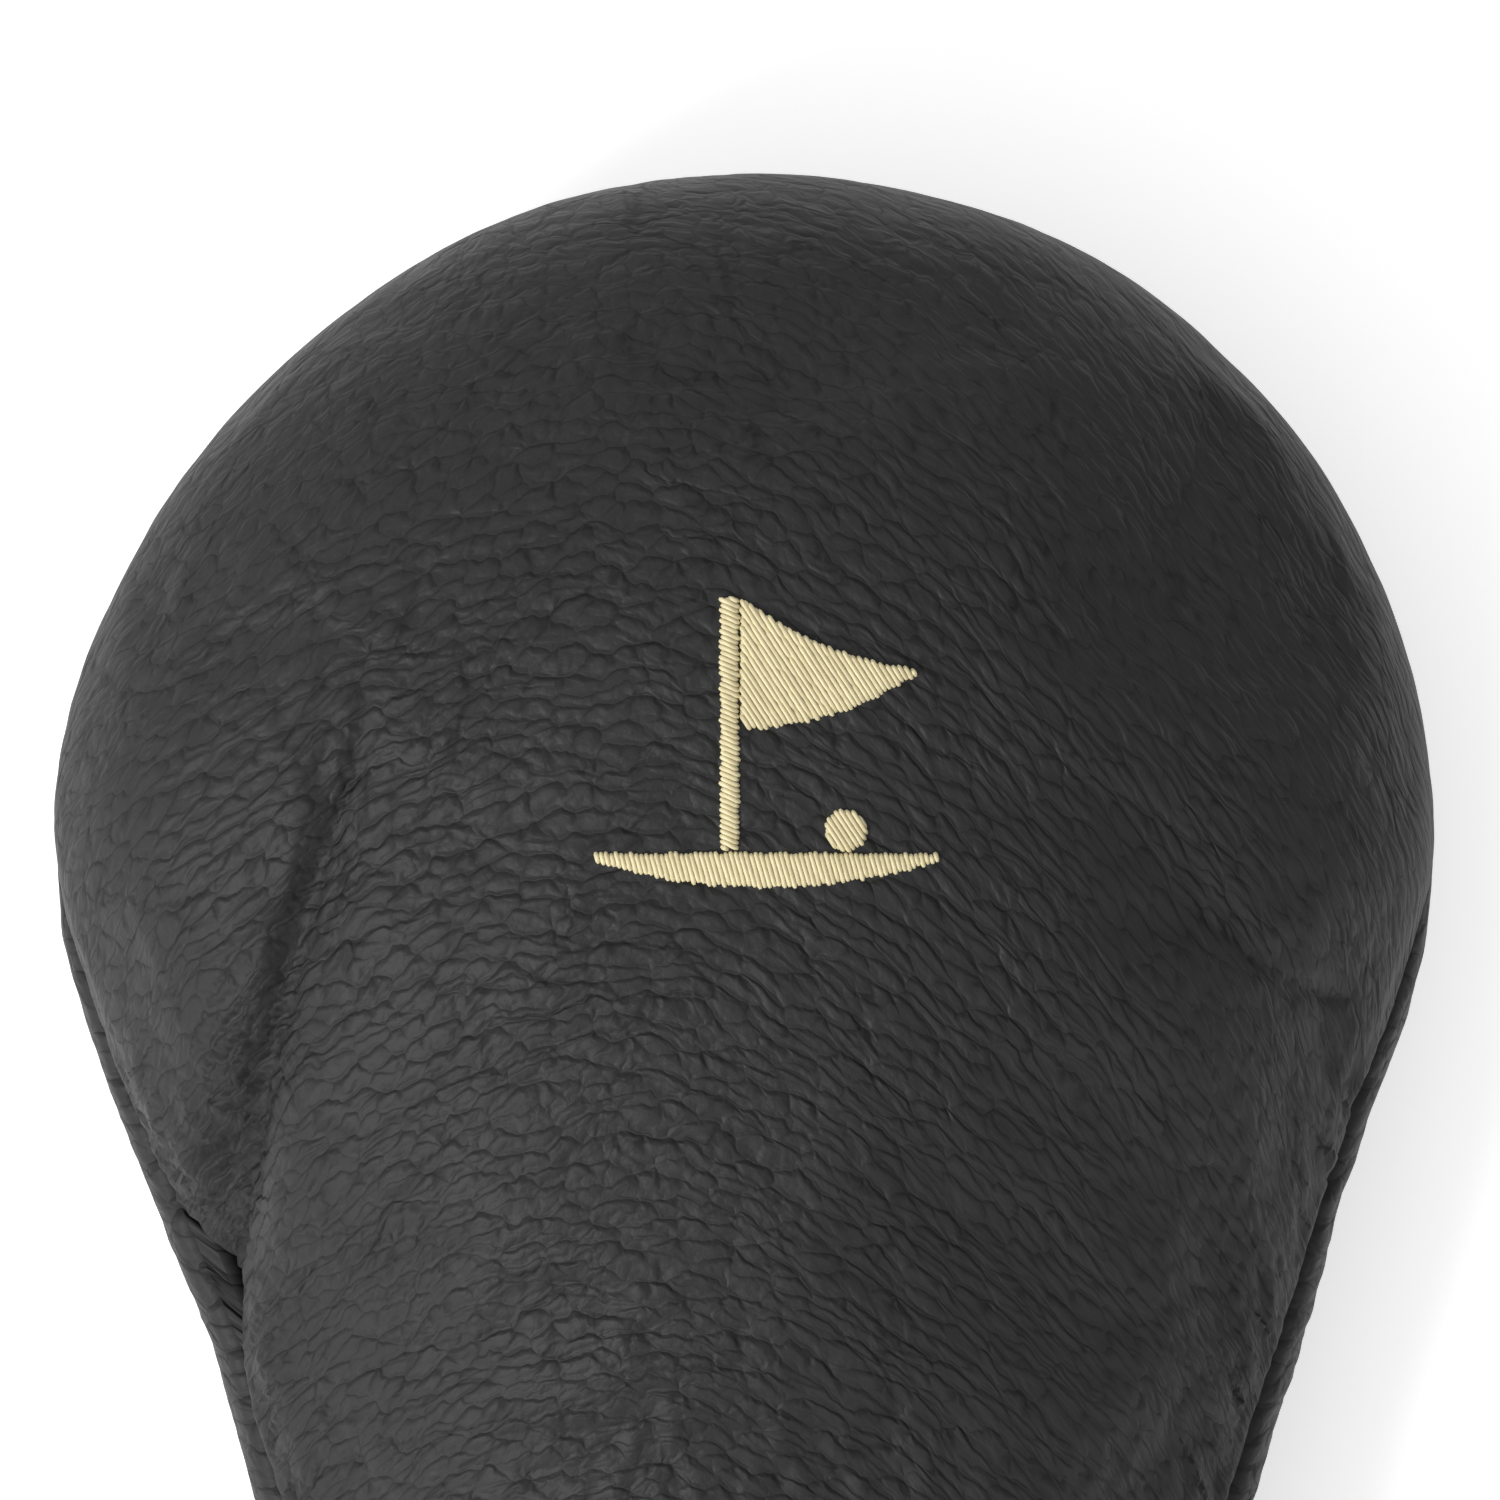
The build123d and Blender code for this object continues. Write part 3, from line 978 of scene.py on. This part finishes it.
panelMake = {
    "step": 0.74,
    "slowStep": 1.0,
    "fineEnd": 128.0,
    "columns": 214,
    "inner": 54,
    "halfGap": 0.02,  # between the panels at the seam, on each side
    "turnIn": 1.15,
    "allowance": (2.6, 4.0),  # how deep its bend and its edge lie
    "narrow": (8, 7),  # where it narrows before the padding's end, and over what
}


def leatherPanel(name, top, nodes, material):
    stations = stationRows(panelMake["step"], panelMake["slowStep"], panelMake["fineEnd"])
    side = 1 if top else -1
    seam = cover["seam"] + panelMake["halfGap"] * side
    inside = cover["seam"] + panelMake["turnIn"] * side
    front, frontCoords = leatherGrid(stations, top, edgeSpread(panelMake["columns"]), seam)
    even = np.full(len(stations), plies["leather"])
    back, backCoords = plyGrid(stations, top, panelMake["inner"], inside, even)
    # the edge turns in and becomes the seam allowance, wide in the bulb and narrow past the padding
    before, over = panelMake["narrow"]
    room = 1 - ease((stations - paddingEnd + before) / over)
    bend, edge = panelMake["allowance"]
    parts = []
    for height, depth in ((seam, bend), (seam, edge), (inside, edge)):
        parts.append(plyGrid(stations, top, 3, height, mix(plies["leather"] + 0.1, depth, room)))
    right = [(points[:, -1:], flat[:, -1:]) for points, flat in parts]
    left = [(points[:, :1], flat[:, :1]) for points, flat in parts][::-1]
    order = [(front, frontCoords)] + right + [(back[:, ::-1], backCoords[:, ::-1])] + left
    rows, coords = (np.concatenate(part, axis=1) for part in zip(*order))
    verts, faces, flat = closedRows(rows, coords)
    if not top:
        flat[:, 1] += archOf(flat[:, 0])  # the under panel's grain runs straight across
    piece = meshPiece(name, verts, faces, material, nodes, flat)
    print(name, len(faces), "faces")
    return piece


frontPanel = leatherPanel("frontPanel", True, ["front_panel"], leather)
backPanel = leatherPanel("backPanel", False, ["back_panel"], backLeather)


def surfaceTree(*pieces):
    verts, faces = [], []
    for piece in pieces:
        start = len(verts)
        verts += [vertex.co.copy() for vertex in piece.data.vertices]
        faces += [[start + index for index in face.vertices] for face in piece.data.polygons]
    return BVHTree.FromPolygons(verts, faces)


outside = surfaceTree(frontPanel, backPanel)
print("panels made")


def softShell(stations, top, columns, seam, face, back):
    # the closed skin of an inner ply, from its face to its back
    front, frontCoords = plyGrid(stations, top, columns[0], seam, face)
    rear, rearCoords = plyGrid(stations, top, columns[1], seam, back)
    rows = np.concatenate([front, rear[:, ::-1]], axis=1)
    return closedRows(rows, np.concatenate([frontCoords, rearCoords[:, ::-1]], axis=1))


def softRows(step, end):
    middle = np.arange(cover["bulbStation"] + step, end, step)
    return np.concatenate([domeRows(3, int(80 / step)), middle, [end]])


halves = ((True, 1, "front"), (False, -1, "back"))
padding = {"step": 1.6, "columns": (110, 55), "trim": 2.04}
paddingRows = softRows(padding["step"], paddingEnd)
for top, side, half in halves:
    face = np.full(len(paddingRows), plies["paddingFace"])
    back = np.full(len(paddingRows), plies["paddingBack"])
    edge = cover["seam"] + side * padding["trim"]
    verts, faces, flat = softShell(paddingRows, top, padding["columns"], edge, face, back)
    pad = meshPiece(half + "Padding", verts, faces, foam, [half + "_padding"], flat)
print("padding made")


class Growth:
    # a Geometry Nodes tree with named inputs, run once and kept as a plain mesh

    def __init__(self, name, **inputs):
        self.tree = bpy.data.node_groups.new(name, "GeometryNodeTree")
        face = self.tree.interface
        face.new_socket(name="Geometry", in_out="INPUT", socket_type="NodeSocketGeometry")
        face.new_socket(name="Geometry", in_out="OUTPUT", socket_type="NodeSocketGeometry")
        self.places = {}
        for key, value in inputs.items():
            kind = "NodeSocketInt" if isinstance(value, int) else "NodeSocketFloat"
            socket = face.new_socket(name=key, in_out="INPUT", socket_type=kind)
            socket.default_value = value
            self.places[key] = socket.identifier
        self.start = self.tree.nodes.new("NodeGroupInput")
        self.end = self.tree.nodes.new("NodeGroupOutput")

    def given(self, name):
        return Wire(self.tree, self.start.outputs[name])

    def node(self, kind, settings=None, out=0, **values):
        node = self.tree.nodes.new(kind)
        for key, value in (settings or {}).items():
            setattr(node, key, value)
        for key, value in values.items():
            plug(self.tree, node.inputs[key.replace("_", " ")], value)
        return Wire(self.tree, node.outputs[out])

    def close(self, geometry, material):
        whole = self.node("GeometryNodeRealizeInstances", Geometry=geometry)
        painted = self.node("GeometryNodeSetMaterial", Geometry=whole, Material=material)
        self.tree.links.new(painted.socket, self.end.inputs[0])

    def grow(self, name, source, **values):
        modifier = source.modifiers.new("growth", "NODES")
        modifier.node_group = self.tree
        for key, value in values.items():
            modifier[self.places[key]] = value
        bpy.context.view_layer.update()
        ready = source.evaluated_get(bpy.context.evaluated_depsgraph_get())
        mesh = bpy.data.meshes.new_from_object(ready)
        source.modifiers.remove(modifier)
        bpy.data.objects.remove(source)
        mesh.name = name
        piece = bpy.data.objects.new(name, mesh)
        bpy.context.scene.collection.objects.link(piece)
        return piece


def curveThrough(name, paths, closed):
    curve = bpy.data.curves.new(name, "CURVE")
    curve.dimensions = "3D"
    for path in paths:
        line = curve.splines.new("POLY")
        line.points.add(len(path) - 1)
        line.points.foreach_set("co", [value for point in path for value in (*point, 1.0)])
        line.use_cyclic_u = closed
    holder = bpy.data.objects.new(name, curve)
    bpy.context.scene.collection.objects.link(holder)
    return holder


def stitchTree(material):
    # one rounded stitch for each step along a path
    rows = Growth("stitchRow", Pitch=0.003, Length=0.0024, Radius=0.0003)
    curve, pitch, radius = rows.given("Geometry"), rows.given("Pitch"), rows.given("Radius")
    path = rows.node("GeometryNodeResampleCurve", {"mode": "LENGTH"}, Curve=curve, Length=pitch)
    ball = rows.node("GeometryNodeMeshUVSphere", Segments=8, Rings=6, Radius=1.0)
    size = rows.node("ShaderNodeCombineXYZ", X=rows.given("Length") * 0.5, Y=radius, Z=radius)
    stitch = rows.node("GeometryNodeTransform", Geometry=ball, Scale=size)
    smooth = rows.node("GeometryNodeSetShadeSmooth", Geometry=stitch)
    tangent = rows.node("GeometryNodeInputTangent")
    turn = rows.node("FunctionNodeAlignRotationToVector", {"axis": "X"}, Vector=tangent)
    placed = rows.node("GeometryNodeInstanceOnPoints", Points=path, Instance=smooth, Rotation=turn)
    rows.close(placed, material)
    return rows


stitchRow = stitchTree(blackThread)


def wholeRing(stations, insets, columns=120):
    front, frontCoords = plyGrid(stations, True, columns, cover["seam"], insets)
    back, backCoords = plyGrid(stations, False, columns, cover["seam"], insets)
    back, backCoords = back[:, -2:0:-1], backCoords[:, -2:0:-1] + [[[400.0, 0.0]]]
    ring = np.concatenate([front, back], axis=1)
    return ring, np.concatenate([frontCoords, backCoords], axis=1)


def onLeather(points, lift):
    # each point goes to the nearest leather, and a little out
    placed = []
    for point in points:
        spot, normal, _, _ = outside.find_nearest(Vector(point) / 1000)
        placed.append(spot + normal * lift / 1000)
    return placed


stitching = {
    "pitch": 3.0,
    "length": 2.3,
    "radius": 0.26,
    "lift": 0.08,
    "hemPitch": 3.2,
    "seamPitch": 3.4,
    "seamRadius": 0.22,
}


def sewnPiece(name, paths, closed, nodes, pitch, radius):
    holder = curveThrough(name + "Path", paths, closed)
    length = stitching["length"] / stitching["pitch"] * pitch / 1000
    piece = stitchRow.grow(name, holder, Pitch=pitch / 1000, Length=length, Radius=radius / 1000)
    return settle(piece, nodes)


def topStitches(name, node, path, pitch):
    sewnPiece(name, [path], True, [node], pitch, stitching["radius"])


for name, node, rowLow, rowHigh in (
    ("neckUpperStitches", "neck_upper_stitches", upperRowLow, upperRowHigh),
    ("neckLowerStitches", "neck_lower_stitches", lowerRowLow, lowerRowHigh),
):
    station = cover["tipY"] - (rowLow[1] + rowHigh[1]) / 2
    ring = wholeRing(np.array([station]), np.array([0.0]))[0][0]
    topStitches(name, node, onLeather(ring, stitching["lift"]), stitching["pitch"])


def hiddenSeam(name, node, inset, heights, end):
    stations = softRows(2.0, end)[2:]  # clear of the tip
    paths = []
    for height, top in heights:
        edge = plyGrid(stations, top, 3, height, np.full(len(stations), inset))[0]
        path = np.concatenate([edge[::-1, 0], edge[:, -1]]) / 1000
        paths.append([Vector(point) for point in path])
    pitch, radius = stitching["seamPitch"], stitching["seamRadius"]
    return sewnPiece(name, paths, False, [node], pitch, radius)


strand = panelMake["turnIn"] + stitching["seamRadius"] + 0.05
strands = ((cover["seam"] + strand, True), (cover["seam"] - strand, False))
seamEnd = paddingEnd - 1
bend = panelMake["allowance"][0]
hiddenSeam("perimeterSeamThread", "perimeter_seam_thread", bend, strands, seamEnd)
middle = ((cover["seam"], True),)
hiddenSeam("liningSeamThread", "lining_seam_thread", plies["liningBulb"] - 0.4, middle, seamEnd)
print("seams sewn")


def bandPiece(name, profilePoints, material, nodes, columns=150):
    # a strip that goes all the way round; its section is a closed list of (station, inset)
    stations = np.array([point[0] for point in profilePoints])
    insets = np.array([point[1] for point in profilePoints])
    rings, coords = wholeRing(stations, insets, columns)
    section = np.concatenate([[0], np.cumsum(np.hypot(np.diff(stations), np.diff(insets)))])
    coords = coords.copy()
    coords[..., 1] = section[:, None]
    count, around = rings.shape[:2]
    index = np.arange(count * around).reshape(count, around)
    after, below = np.roll(index, -1, axis=1), np.roll(index, -1, axis=0)
    quads = np.stack([index, after, np.roll(below, -1, axis=1), below], -1).reshape(-1, 4).tolist()
    return meshPiece(name, rings.reshape(-1, 3), quads, material, nodes, coords.reshape(-1, 2))


def tape(name, node, start, end, ply, material, steps=12):
    face, back = plies[ply + "Face"], plies[ply + "Back"]
    stations = np.linspace(start, end, steps)
    section = [(station, face) for station in stations]
    section += [(station, back) for station in stations[::-1]]
    bandPiece(name, section, material, [node])


elasticStart, elasticEnd = cover["tipY"] - elasticHigh[1], cover["tipY"] - elasticLow[1]
tape("neckElastic", "neck_elastic", elasticStart, elasticEnd, "elastic", elasticWeave)
tape("elasticCasing", "elastic_casing", neckStart, neckEnd, "casing", casingWeave)

binding = {
    "gap": 0.06,
    "innerGap": 0.2,
    "foldSteps": 9,
    "foldReach": 1.6,
    "foldShape": 0.8,
    "edge": 0.3,  # the rounding of its cut edges
    "legSteps": 7,
    "hollowSteps": 6,
    "columns": 190,
}


def bindingSection():
    # round the outside, over the mouth, back inside, and along the hollow that holds the panels
    legStart = cover["tipY"] - bindingHigh[1]
    mouth = cover["tipY"] - bindingLow[1]
    outer = -binding["gap"] - plies["binding"]
    inner = plies["liningSkirt"] + plies["lining"] + binding["innerGap"]
    inside = inner + plies["binding"]
    edge, reach = binding["edge"], binding["foldReach"]
    middle, half = (outer + inside) / 2, (inside - outer) / 2
    section = []

    def run(start, end, inset, steps):
        section.extend((station, inset) for station in np.linspace(start, end, steps))

    run(legStart + edge, mouth - reach - edge, outer, binding["legSteps"])
    for turn in np.linspace(0, math.pi, binding["foldSteps"]):
        station = mouth - reach + reach * math.sin(turn) ** binding["foldShape"]
        section.append((station, middle - half * math.cos(turn)))
    run(mouth - reach - edge, legStart + edge, inside, binding["legSteps"])
    section += [(legStart, inside - edge), (legStart, inner)]
    run(legStart + 1, mouth - plies["binding"], inner, binding["hollowSteps"])
    run(mouth - plies["binding"], legStart + 1, -binding["gap"], binding["hollowSteps"])
    return section + [(legStart, -binding["gap"]), (legStart, outer + edge)]


section = bindingSection()
columns = binding["columns"]
bandPiece("hemBinding", section, bindingLeather, ["hem_binding"], columns)
hemStation = cover["tipY"] - (hemRowLow[1] + hemRowHigh[1]) / 2
hemInset = -binding["gap"] - plies["binding"] - stitching["lift"]
hemRing = wholeRing(np.array([hemStation]), np.array([hemInset]))[0][0]
hemPath = [Vector(point) / 1000 for point in hemRing]
topStitches("hemStitches", "hem_stitches", hemPath, stitching["hemPitch"])
print("neck and mouth made")


lining = {"step": 2.0, "columns": (96, 96), "halfGap": 0.03, "skirtEase": 16.0}
pile = {
    "height": 1.5,
    "width": 0.17,
    "tip": 0.03,
    "density": 620000.0,
    "reach": 46.0,  # how far up from the mouth it is seen
    "seed": 7,
    "lean": 0.75,  # in radians, either way
    "spin": 3.1,
}


def pileTree(material):
    # short matted tufts on the part of the lining that shows through the mouth
    inputs = {"Height": 0.0015, "Width": 0.00017, "Density": 600000.0, "Reach": 0.0, "Seed": 1}
    growth = Growth("liningPile", **inputs)
    cloth, seed = growth.given("Geometry"), growth.given("Seed")
    parts = growth.tree.nodes.new("ShaderNodeSeparateXYZ")
    growth.tree.links.new(growth.node("GeometryNodeInputPosition").socket, parts.inputs[0])
    near = Wire(growth.tree, parts.outputs[1]).math("LESS_THAN", growth.given("Reach"))
    spots = growth.tree.nodes.new("GeometryNodeDistributePointsOnFaces")
    plug(growth.tree, spots.inputs["Mesh"], cloth)
    plug(growth.tree, spots.inputs["Selection"], near)
    plug(growth.tree, spots.inputs["Density"], growth.given("Density"))
    plug(growth.tree, spots.inputs["Seed"], seed)
    size = {"Radius_Bottom": growth.given("Width"), "Depth": growth.given("Height")}
    shape = {"Vertices": 4, "Side_Segments": 1, "Radius_Top": pile["tip"] / 1000, **size}
    tuft = growth.node("GeometryNodeMeshCone", {"fill_type": "NONE"}, out="Mesh", **shape)
    most = (pile["lean"], pile["lean"], pile["spin"])
    vectors = {"data_type": "FLOAT_VECTOR"}
    least = tuple(-value for value in most)
    spin = growth.node("FunctionNodeRandomValue", vectors, Min=least, Max=most, Seed=seed)
    facing = Wire(growth.tree, spots.outputs["Rotation"])
    local = {"rotation_space": "LOCAL"}
    turn = growth.node("FunctionNodeRotateRotation", local, Rotation=facing, Rotate_By=spin)
    scale = growth.node("FunctionNodeRandomValue", out=1, Seed=seed) * 0.7 + 0.55
    points = Wire(growth.tree, spots.outputs["Points"])
    tufts = {"Points": points, "Instance": tuft, "Rotation": turn, "Scale": scale}
    placed = growth.node("GeometryNodeInstanceOnPoints", **tufts)
    both = growth.tree.nodes.new("GeometryNodeJoinGeometry")
    growth.tree.links.new(placed.socket, both.inputs[0])
    growth.tree.links.new(cloth.socket, both.inputs[0])
    growth.close(Wire(growth.tree, both.outputs[0]), material)
    return growth


def liningDepth(stations):
    toNeck = ease((stations - paddingEnd) / (neckStart - paddingEnd))
    toSkirt = ease((stations - neckEnd) / lining["skirtEase"])
    depth = mix(plies["liningBulb"], plies["liningNeck"], toNeck)
    return mix(depth, plies["liningSkirt"], toSkirt)


liningPile = pileTree(fleece)
liningRows = softRows(lining["step"], cover["length"] - 0.1)
depth = liningDepth(liningRows)
tufting = {
    "Height": pile["height"] / 1000,
    "Width": pile["width"] / 1000,
    "Density": pile["density"],
    "Reach": (panelLow[1] + pile["reach"]) / 1000,
    "Seed": pile["seed"],
}
for top, side, half in halves:
    edge = cover["seam"] + side * lining["halfGap"]
    shell = softShell(liningRows, top, lining["columns"], edge, depth, depth + plies["lining"])
    cloth = skinObject(half + "LiningCloth", shell[0], shell[1])
    settle(liningPile.grow(half + "Lining", cloth, **tufting), [half + "_lining"])
print("lining made")


emblem = {
    "rowPitch": 0.40,
    "thread": 0.215,
    "lift": 0.26,
    "underLift": 0.06,
    "ragged": 0.13,
    "shortest": 0.5,
    "stitch": 4.6,  # longer rows are held down once in each of these
    "held": 0.05,  # how much of a stitch dips where it is held
    "dip": 0.16,
    "end": 0.22,  # over which a row's end goes down
    "underTrim": 0.25,
    "slant": -57.0,
    "poleSlant": -24.0,
    "greenSlant": -74.0,
    "tall": emblemHigh[1] - emblemLow[1],
    "wide": emblemHigh[0] - emblemLow[0],
    "seed": 4,
}
emblemX = (emblemLow[0] + emblemHigh[0]) / 2
emblemY = (emblemLow[1] + emblemHigh[1]) / 2


def arcThrough(start, middle, end, count=14):
    # points on a shallow curve through three places
    at = np.linspace(0, 1, count)[:, None]
    start, middle, end = (np.array(place, float) for place in (start, middle, end))
    pull = 2 * middle - (start + end) / 2
    return (1 - at) ** 2 * start + 2 * at * (1 - at) * pull + at**2 * end


def motifShapes():
    # a flag on its pole, a ball and the green, each with the way its threads run
    tall, wide = emblem["tall"] / 24, emblem["wide"] / 32
    greenTop, greenTip = -9.28 * tall, -9.36 * tall
    poleFoot, poleTop = greenTop + 0.4, 12 * tall
    pole = [(-3.7, poleFoot), (-2.3, poleFoot), (-2.3, poleTop), (-3.7, poleTop)]
    upper = arcThrough((-2.05, 12 * tall), (5.54, 7.79), (13.12, 6.06))
    lower = arcThrough((13.12, 6.06), (5.54, 2.39), (-2.05, 1.2))
    turn = np.linspace(0, 2 * math.pi, 28, endpoint=False)
    ball = np.stack([6.72 + 1.7 * np.cos(turn), -7.35 * tall + 1.7 * np.sin(turn)], 1)
    left, right = (-16 * wide, greenTip), (16 * wide, greenTip)
    greenUp = arcThrough(left, (0, greenTop), right, 24)
    greenDown = arcThrough(right, (0, -12 * tall), left, 24)
    return [
        (np.array(pole), emblem["poleSlant"]),
        (np.concatenate([upper, lower]), emblem["slant"]),
        (ball, emblem["slant"]),
        (np.concatenate([greenUp, greenDown]), emblem["greenSlant"]),
    ]


def rowsAcross(outlinePoints, angle, offset):
    # cuts a closed outline into parallel rows, as pairs of ends
    turn = math.radians(angle)
    along = np.array([math.cos(turn), math.sin(turn)])
    side = np.array([-along[1], along[0]])
    flat = np.stack([outlinePoints @ along, outlinePoints @ side], 1)
    after = np.roll(flat, -1, axis=0)
    rows = []
    pitch = emblem["rowPitch"]
    for level in np.arange(flat[:, 1].min() + pitch * (0.5 + offset), flat[:, 1].max(), pitch):
        crossing = (flat[:, 1] > level) != (after[:, 1] > level)
        start, end = flat[crossing], after[crossing]
        share = (level - start[:, 1]) / (end[:, 1] - start[:, 1])
        hits = np.sort(start[:, 0] + share * (end[:, 0] - start[:, 0]))
        pairs = zip(hits[::2], hits[1::2])
        rows += [(low, high, level) for low, high in pairs if high - low > emblem["shortest"]]
    return rows, along, side


crown = surfaceTree(frontPanel)


def onCrown(x, y, lift):
    spot = crown.ray_cast(Vector((x / 1000, y / 1000, 0.2)), Vector((0, 0, -1)))[0]
    return spot + Vector((0, 0, lift / 1000))


def threadPath(low, high, level, along, side, top, count, draw):
    # one row: down at both ends, and held down where a long row is stitched
    end, dip = emblem["end"], emblem["dip"]
    inner = np.linspace(low + end, high - end, max(3, int((high - low) / 0.45)))
    path = []
    for at in (low, low + 0.07, *inner, high - 0.07, high):
        ends = ease(min(at - low, high - at) / end)
        phase = (at / emblem["stitch"] + 0.37 * count) % 1.0 - 0.5
        held = math.exp(-((phase / emblem["held"]) ** 2)) * (high - low > emblem["stitch"])
        x, y = along * at + side * level
        lift = mix(-dip, top + draw.uniform(-0.02, 0.02), ends) - dip * held
        path.append(onCrown(emblemX + x, emblemY + y, lift))
    return path


def embroideryPaths():
    draw = np.random.default_rng(emblem["seed"])
    ragged = emblem["ragged"]
    paths = []
    for shape, angle in motifShapes():
        for under in (True, False):
            rows, along, side = rowsAcross(shape, angle, 0.5 if under else 0.0)
            trim = emblem["underTrim"] if under else 0.0
            top = emblem["underLift"] if under else emblem["lift"]
            for count, (low, high, level) in enumerate(rows):
                low += trim + draw.uniform(-1, 1) * ragged
                high += -trim + draw.uniform(-1, 1) * ragged
                if high - low >= emblem["shortest"]:
                    paths.append(threadPath(low, high, level, along, side, top, count, draw))
    return paths


def threadTree(material):
    # a round thread along each path
    strands = Growth("embroideryThread", Radius=0.0002)
    curve, radius = strands.given("Geometry"), strands.given("Radius")
    ring = strands.node("GeometryNodeCurvePrimitiveCircle", Resolution=6, Radius=radius)
    sweep = {"Curve": curve, "Profile_Curve": ring, "Fill_Caps": True}
    tube = strands.node("GeometryNodeCurveToMesh", **sweep)
    strands.close(strands.node("GeometryNodeSetShadeSmooth", Geometry=tube), material)
    return strands


embroideryThread = threadTree(goldThread)
holder = curveThrough("embroideryPath", embroideryPaths(), False)
embroidery = embroideryThread.grow("emblemEmbroidery", holder, Radius=emblem["thread"] / 1000)
settle(embroidery, ["emblem_embroidery"])
print("embroidery sewn:", len(embroidery.data.polygons), "faces")


backing = {"count": 26, "corner": 0.14, "power": 8, "gap": 0.06, "thick": 0.25}


def backingPatch():
    # the stabiliser lies against the inside of the leather, with rounded corners
    across = np.linspace(-1, 1, backing["count"])
    gridX, gridY = np.meshgrid(across, across)
    power, corner = backing["power"], backing["corner"]
    shrink = 1 - corner + corner / np.maximum(1, np.sqrt(gridX**power + gridY**power))
    low, high = np.array(backingLow), np.array(backingHigh)
    x, y = (
        (low[axis] + high[axis]) / 2 + grid * shrink * (high[axis] - low[axis]) / 2
        for axis, grid in enumerate((gridX, gridY))
    )
    depth = -plies["leather"] - backing["gap"]
    top = [[onCrown(a, b, depth)[:] for a, b in zip(*line)] for line in zip(x, y)]
    return np.array(top) * 1000, np.stack([x, y], -1)


top, coords = backingPatch()
low = top - [[[0, 0, backing["thick"]]]]
sheet = np.concatenate([top, low[:, ::-1]], axis=1)
verts, faces, flat = closedRows(sheet, np.concatenate([coords, coords[:, ::-1]], axis=1))
meshPiece("emblemBacking", verts, faces, stabiliser, ["emblem_backing"], flat)


studio = {
    "viewWidth": 0.128,
    "viewAcross": 0.0002,
    "aboveTip": 0.0149,  # of white over the dome
    "distance": 1.3,
    "aimHeight": 0.025,
    "leftWall": 1.08,
    "rightWall": 0.34,
    "floorGlow": 0.48,
    "keyPlace": (-0.70, -0.50, 0.74),
    "keyAim": (0, 0.04, 0.03),
    "keySize": 0.40,
    "keyPower": 8.6,
}


def makeFloor():
    floorMesh = bpy.data.meshes.new("studioFloor")
    work = bmesh.new()
    bmesh.ops.create_grid(work, x_segments=4, y_segments=4, size=2.0)
    work.to_mesh(floorMesh)
    work.free()
    floor = bpy.data.objects.new("studioFloor", floorMesh)
    bpy.context.scene.collection.objects.link(floor)
    glow = {"Emission_Strength": studio["floorGlow"]}
    paper = Finish("whitePaper", Roughness=0.9, Specular_IOR_Level=0.1, **glow)
    paper.shader.inputs["Emission Color"].default_value = (1, 1, 1, 1)
    grain = paper.noise(paper.place(), 400.0, 2.0)
    paper.feed("Base Color", paper.blend(grain, (0.93, 0.93, 0.93, 1), (0.95, 0.95, 0.95, 1)))
    floorMesh.materials.append(paper.material)


def makeRoom():
    world = bpy.data.worlds.new("studioRoom")
    bpy.context.scene.world = world
    world.use_nodes = True
    room = world.node_tree
    facing = room.nodes.new("ShaderNodeSeparateXYZ")
    room.links.new(room.nodes.new("ShaderNodeTexCoord").outputs["Generated"], facing.inputs[0])
    fromLeft = Wire(room, facing.outputs[0]) * -0.5 + 0.5  # the left walls are nearer and brighter
    strength = fromLeft * (studio["leftWall"] - studio["rightWall"]) + studio["rightWall"]
    plug(room, room.nodes["Background"].inputs["Strength"], strength)
    room.nodes["Background"].inputs["Color"].default_value = (1, 1, 1, 1)


def makeLight():
    lamp = bpy.data.lights.new("keyLight", "AREA")
    lamp.shape = "DISK"
    lamp.size = studio["keySize"]
    lamp.energy = studio["keyPower"]
    light = bpy.data.objects.new("keyLight", lamp)
    place = Vector(studio["keyPlace"])
    light.location = place
    aim = Vector(studio["keyAim"]) - place
    light.rotation_euler = aim.to_track_quat("-Z", "Y").to_euler()
    bpy.context.scene.collection.objects.link(light)


def makeCamera():
    scene = bpy.context.scene
    camera = bpy.data.objects.new("camera", bpy.data.cameras.new("camera"))
    camera.data.sensor_width = 36
    camera.data.lens = 36 * studio["distance"] / studio["viewWidth"]
    camera.data.clip_start, camera.data.clip_end = 0.05, 10
    middle = cover["tipY"] / 1000 + studio["aboveTip"] - studio["viewWidth"] / 2
    camera.location = (studio["viewAcross"], middle, studio["distance"] + studio["aimHeight"])
    scene.collection.objects.link(camera)
    scene.camera = camera
    scene.view_settings.view_transform = "Standard"


makeFloor()
makeRoom()
makeLight()
makeCamera()
print("studio ready")
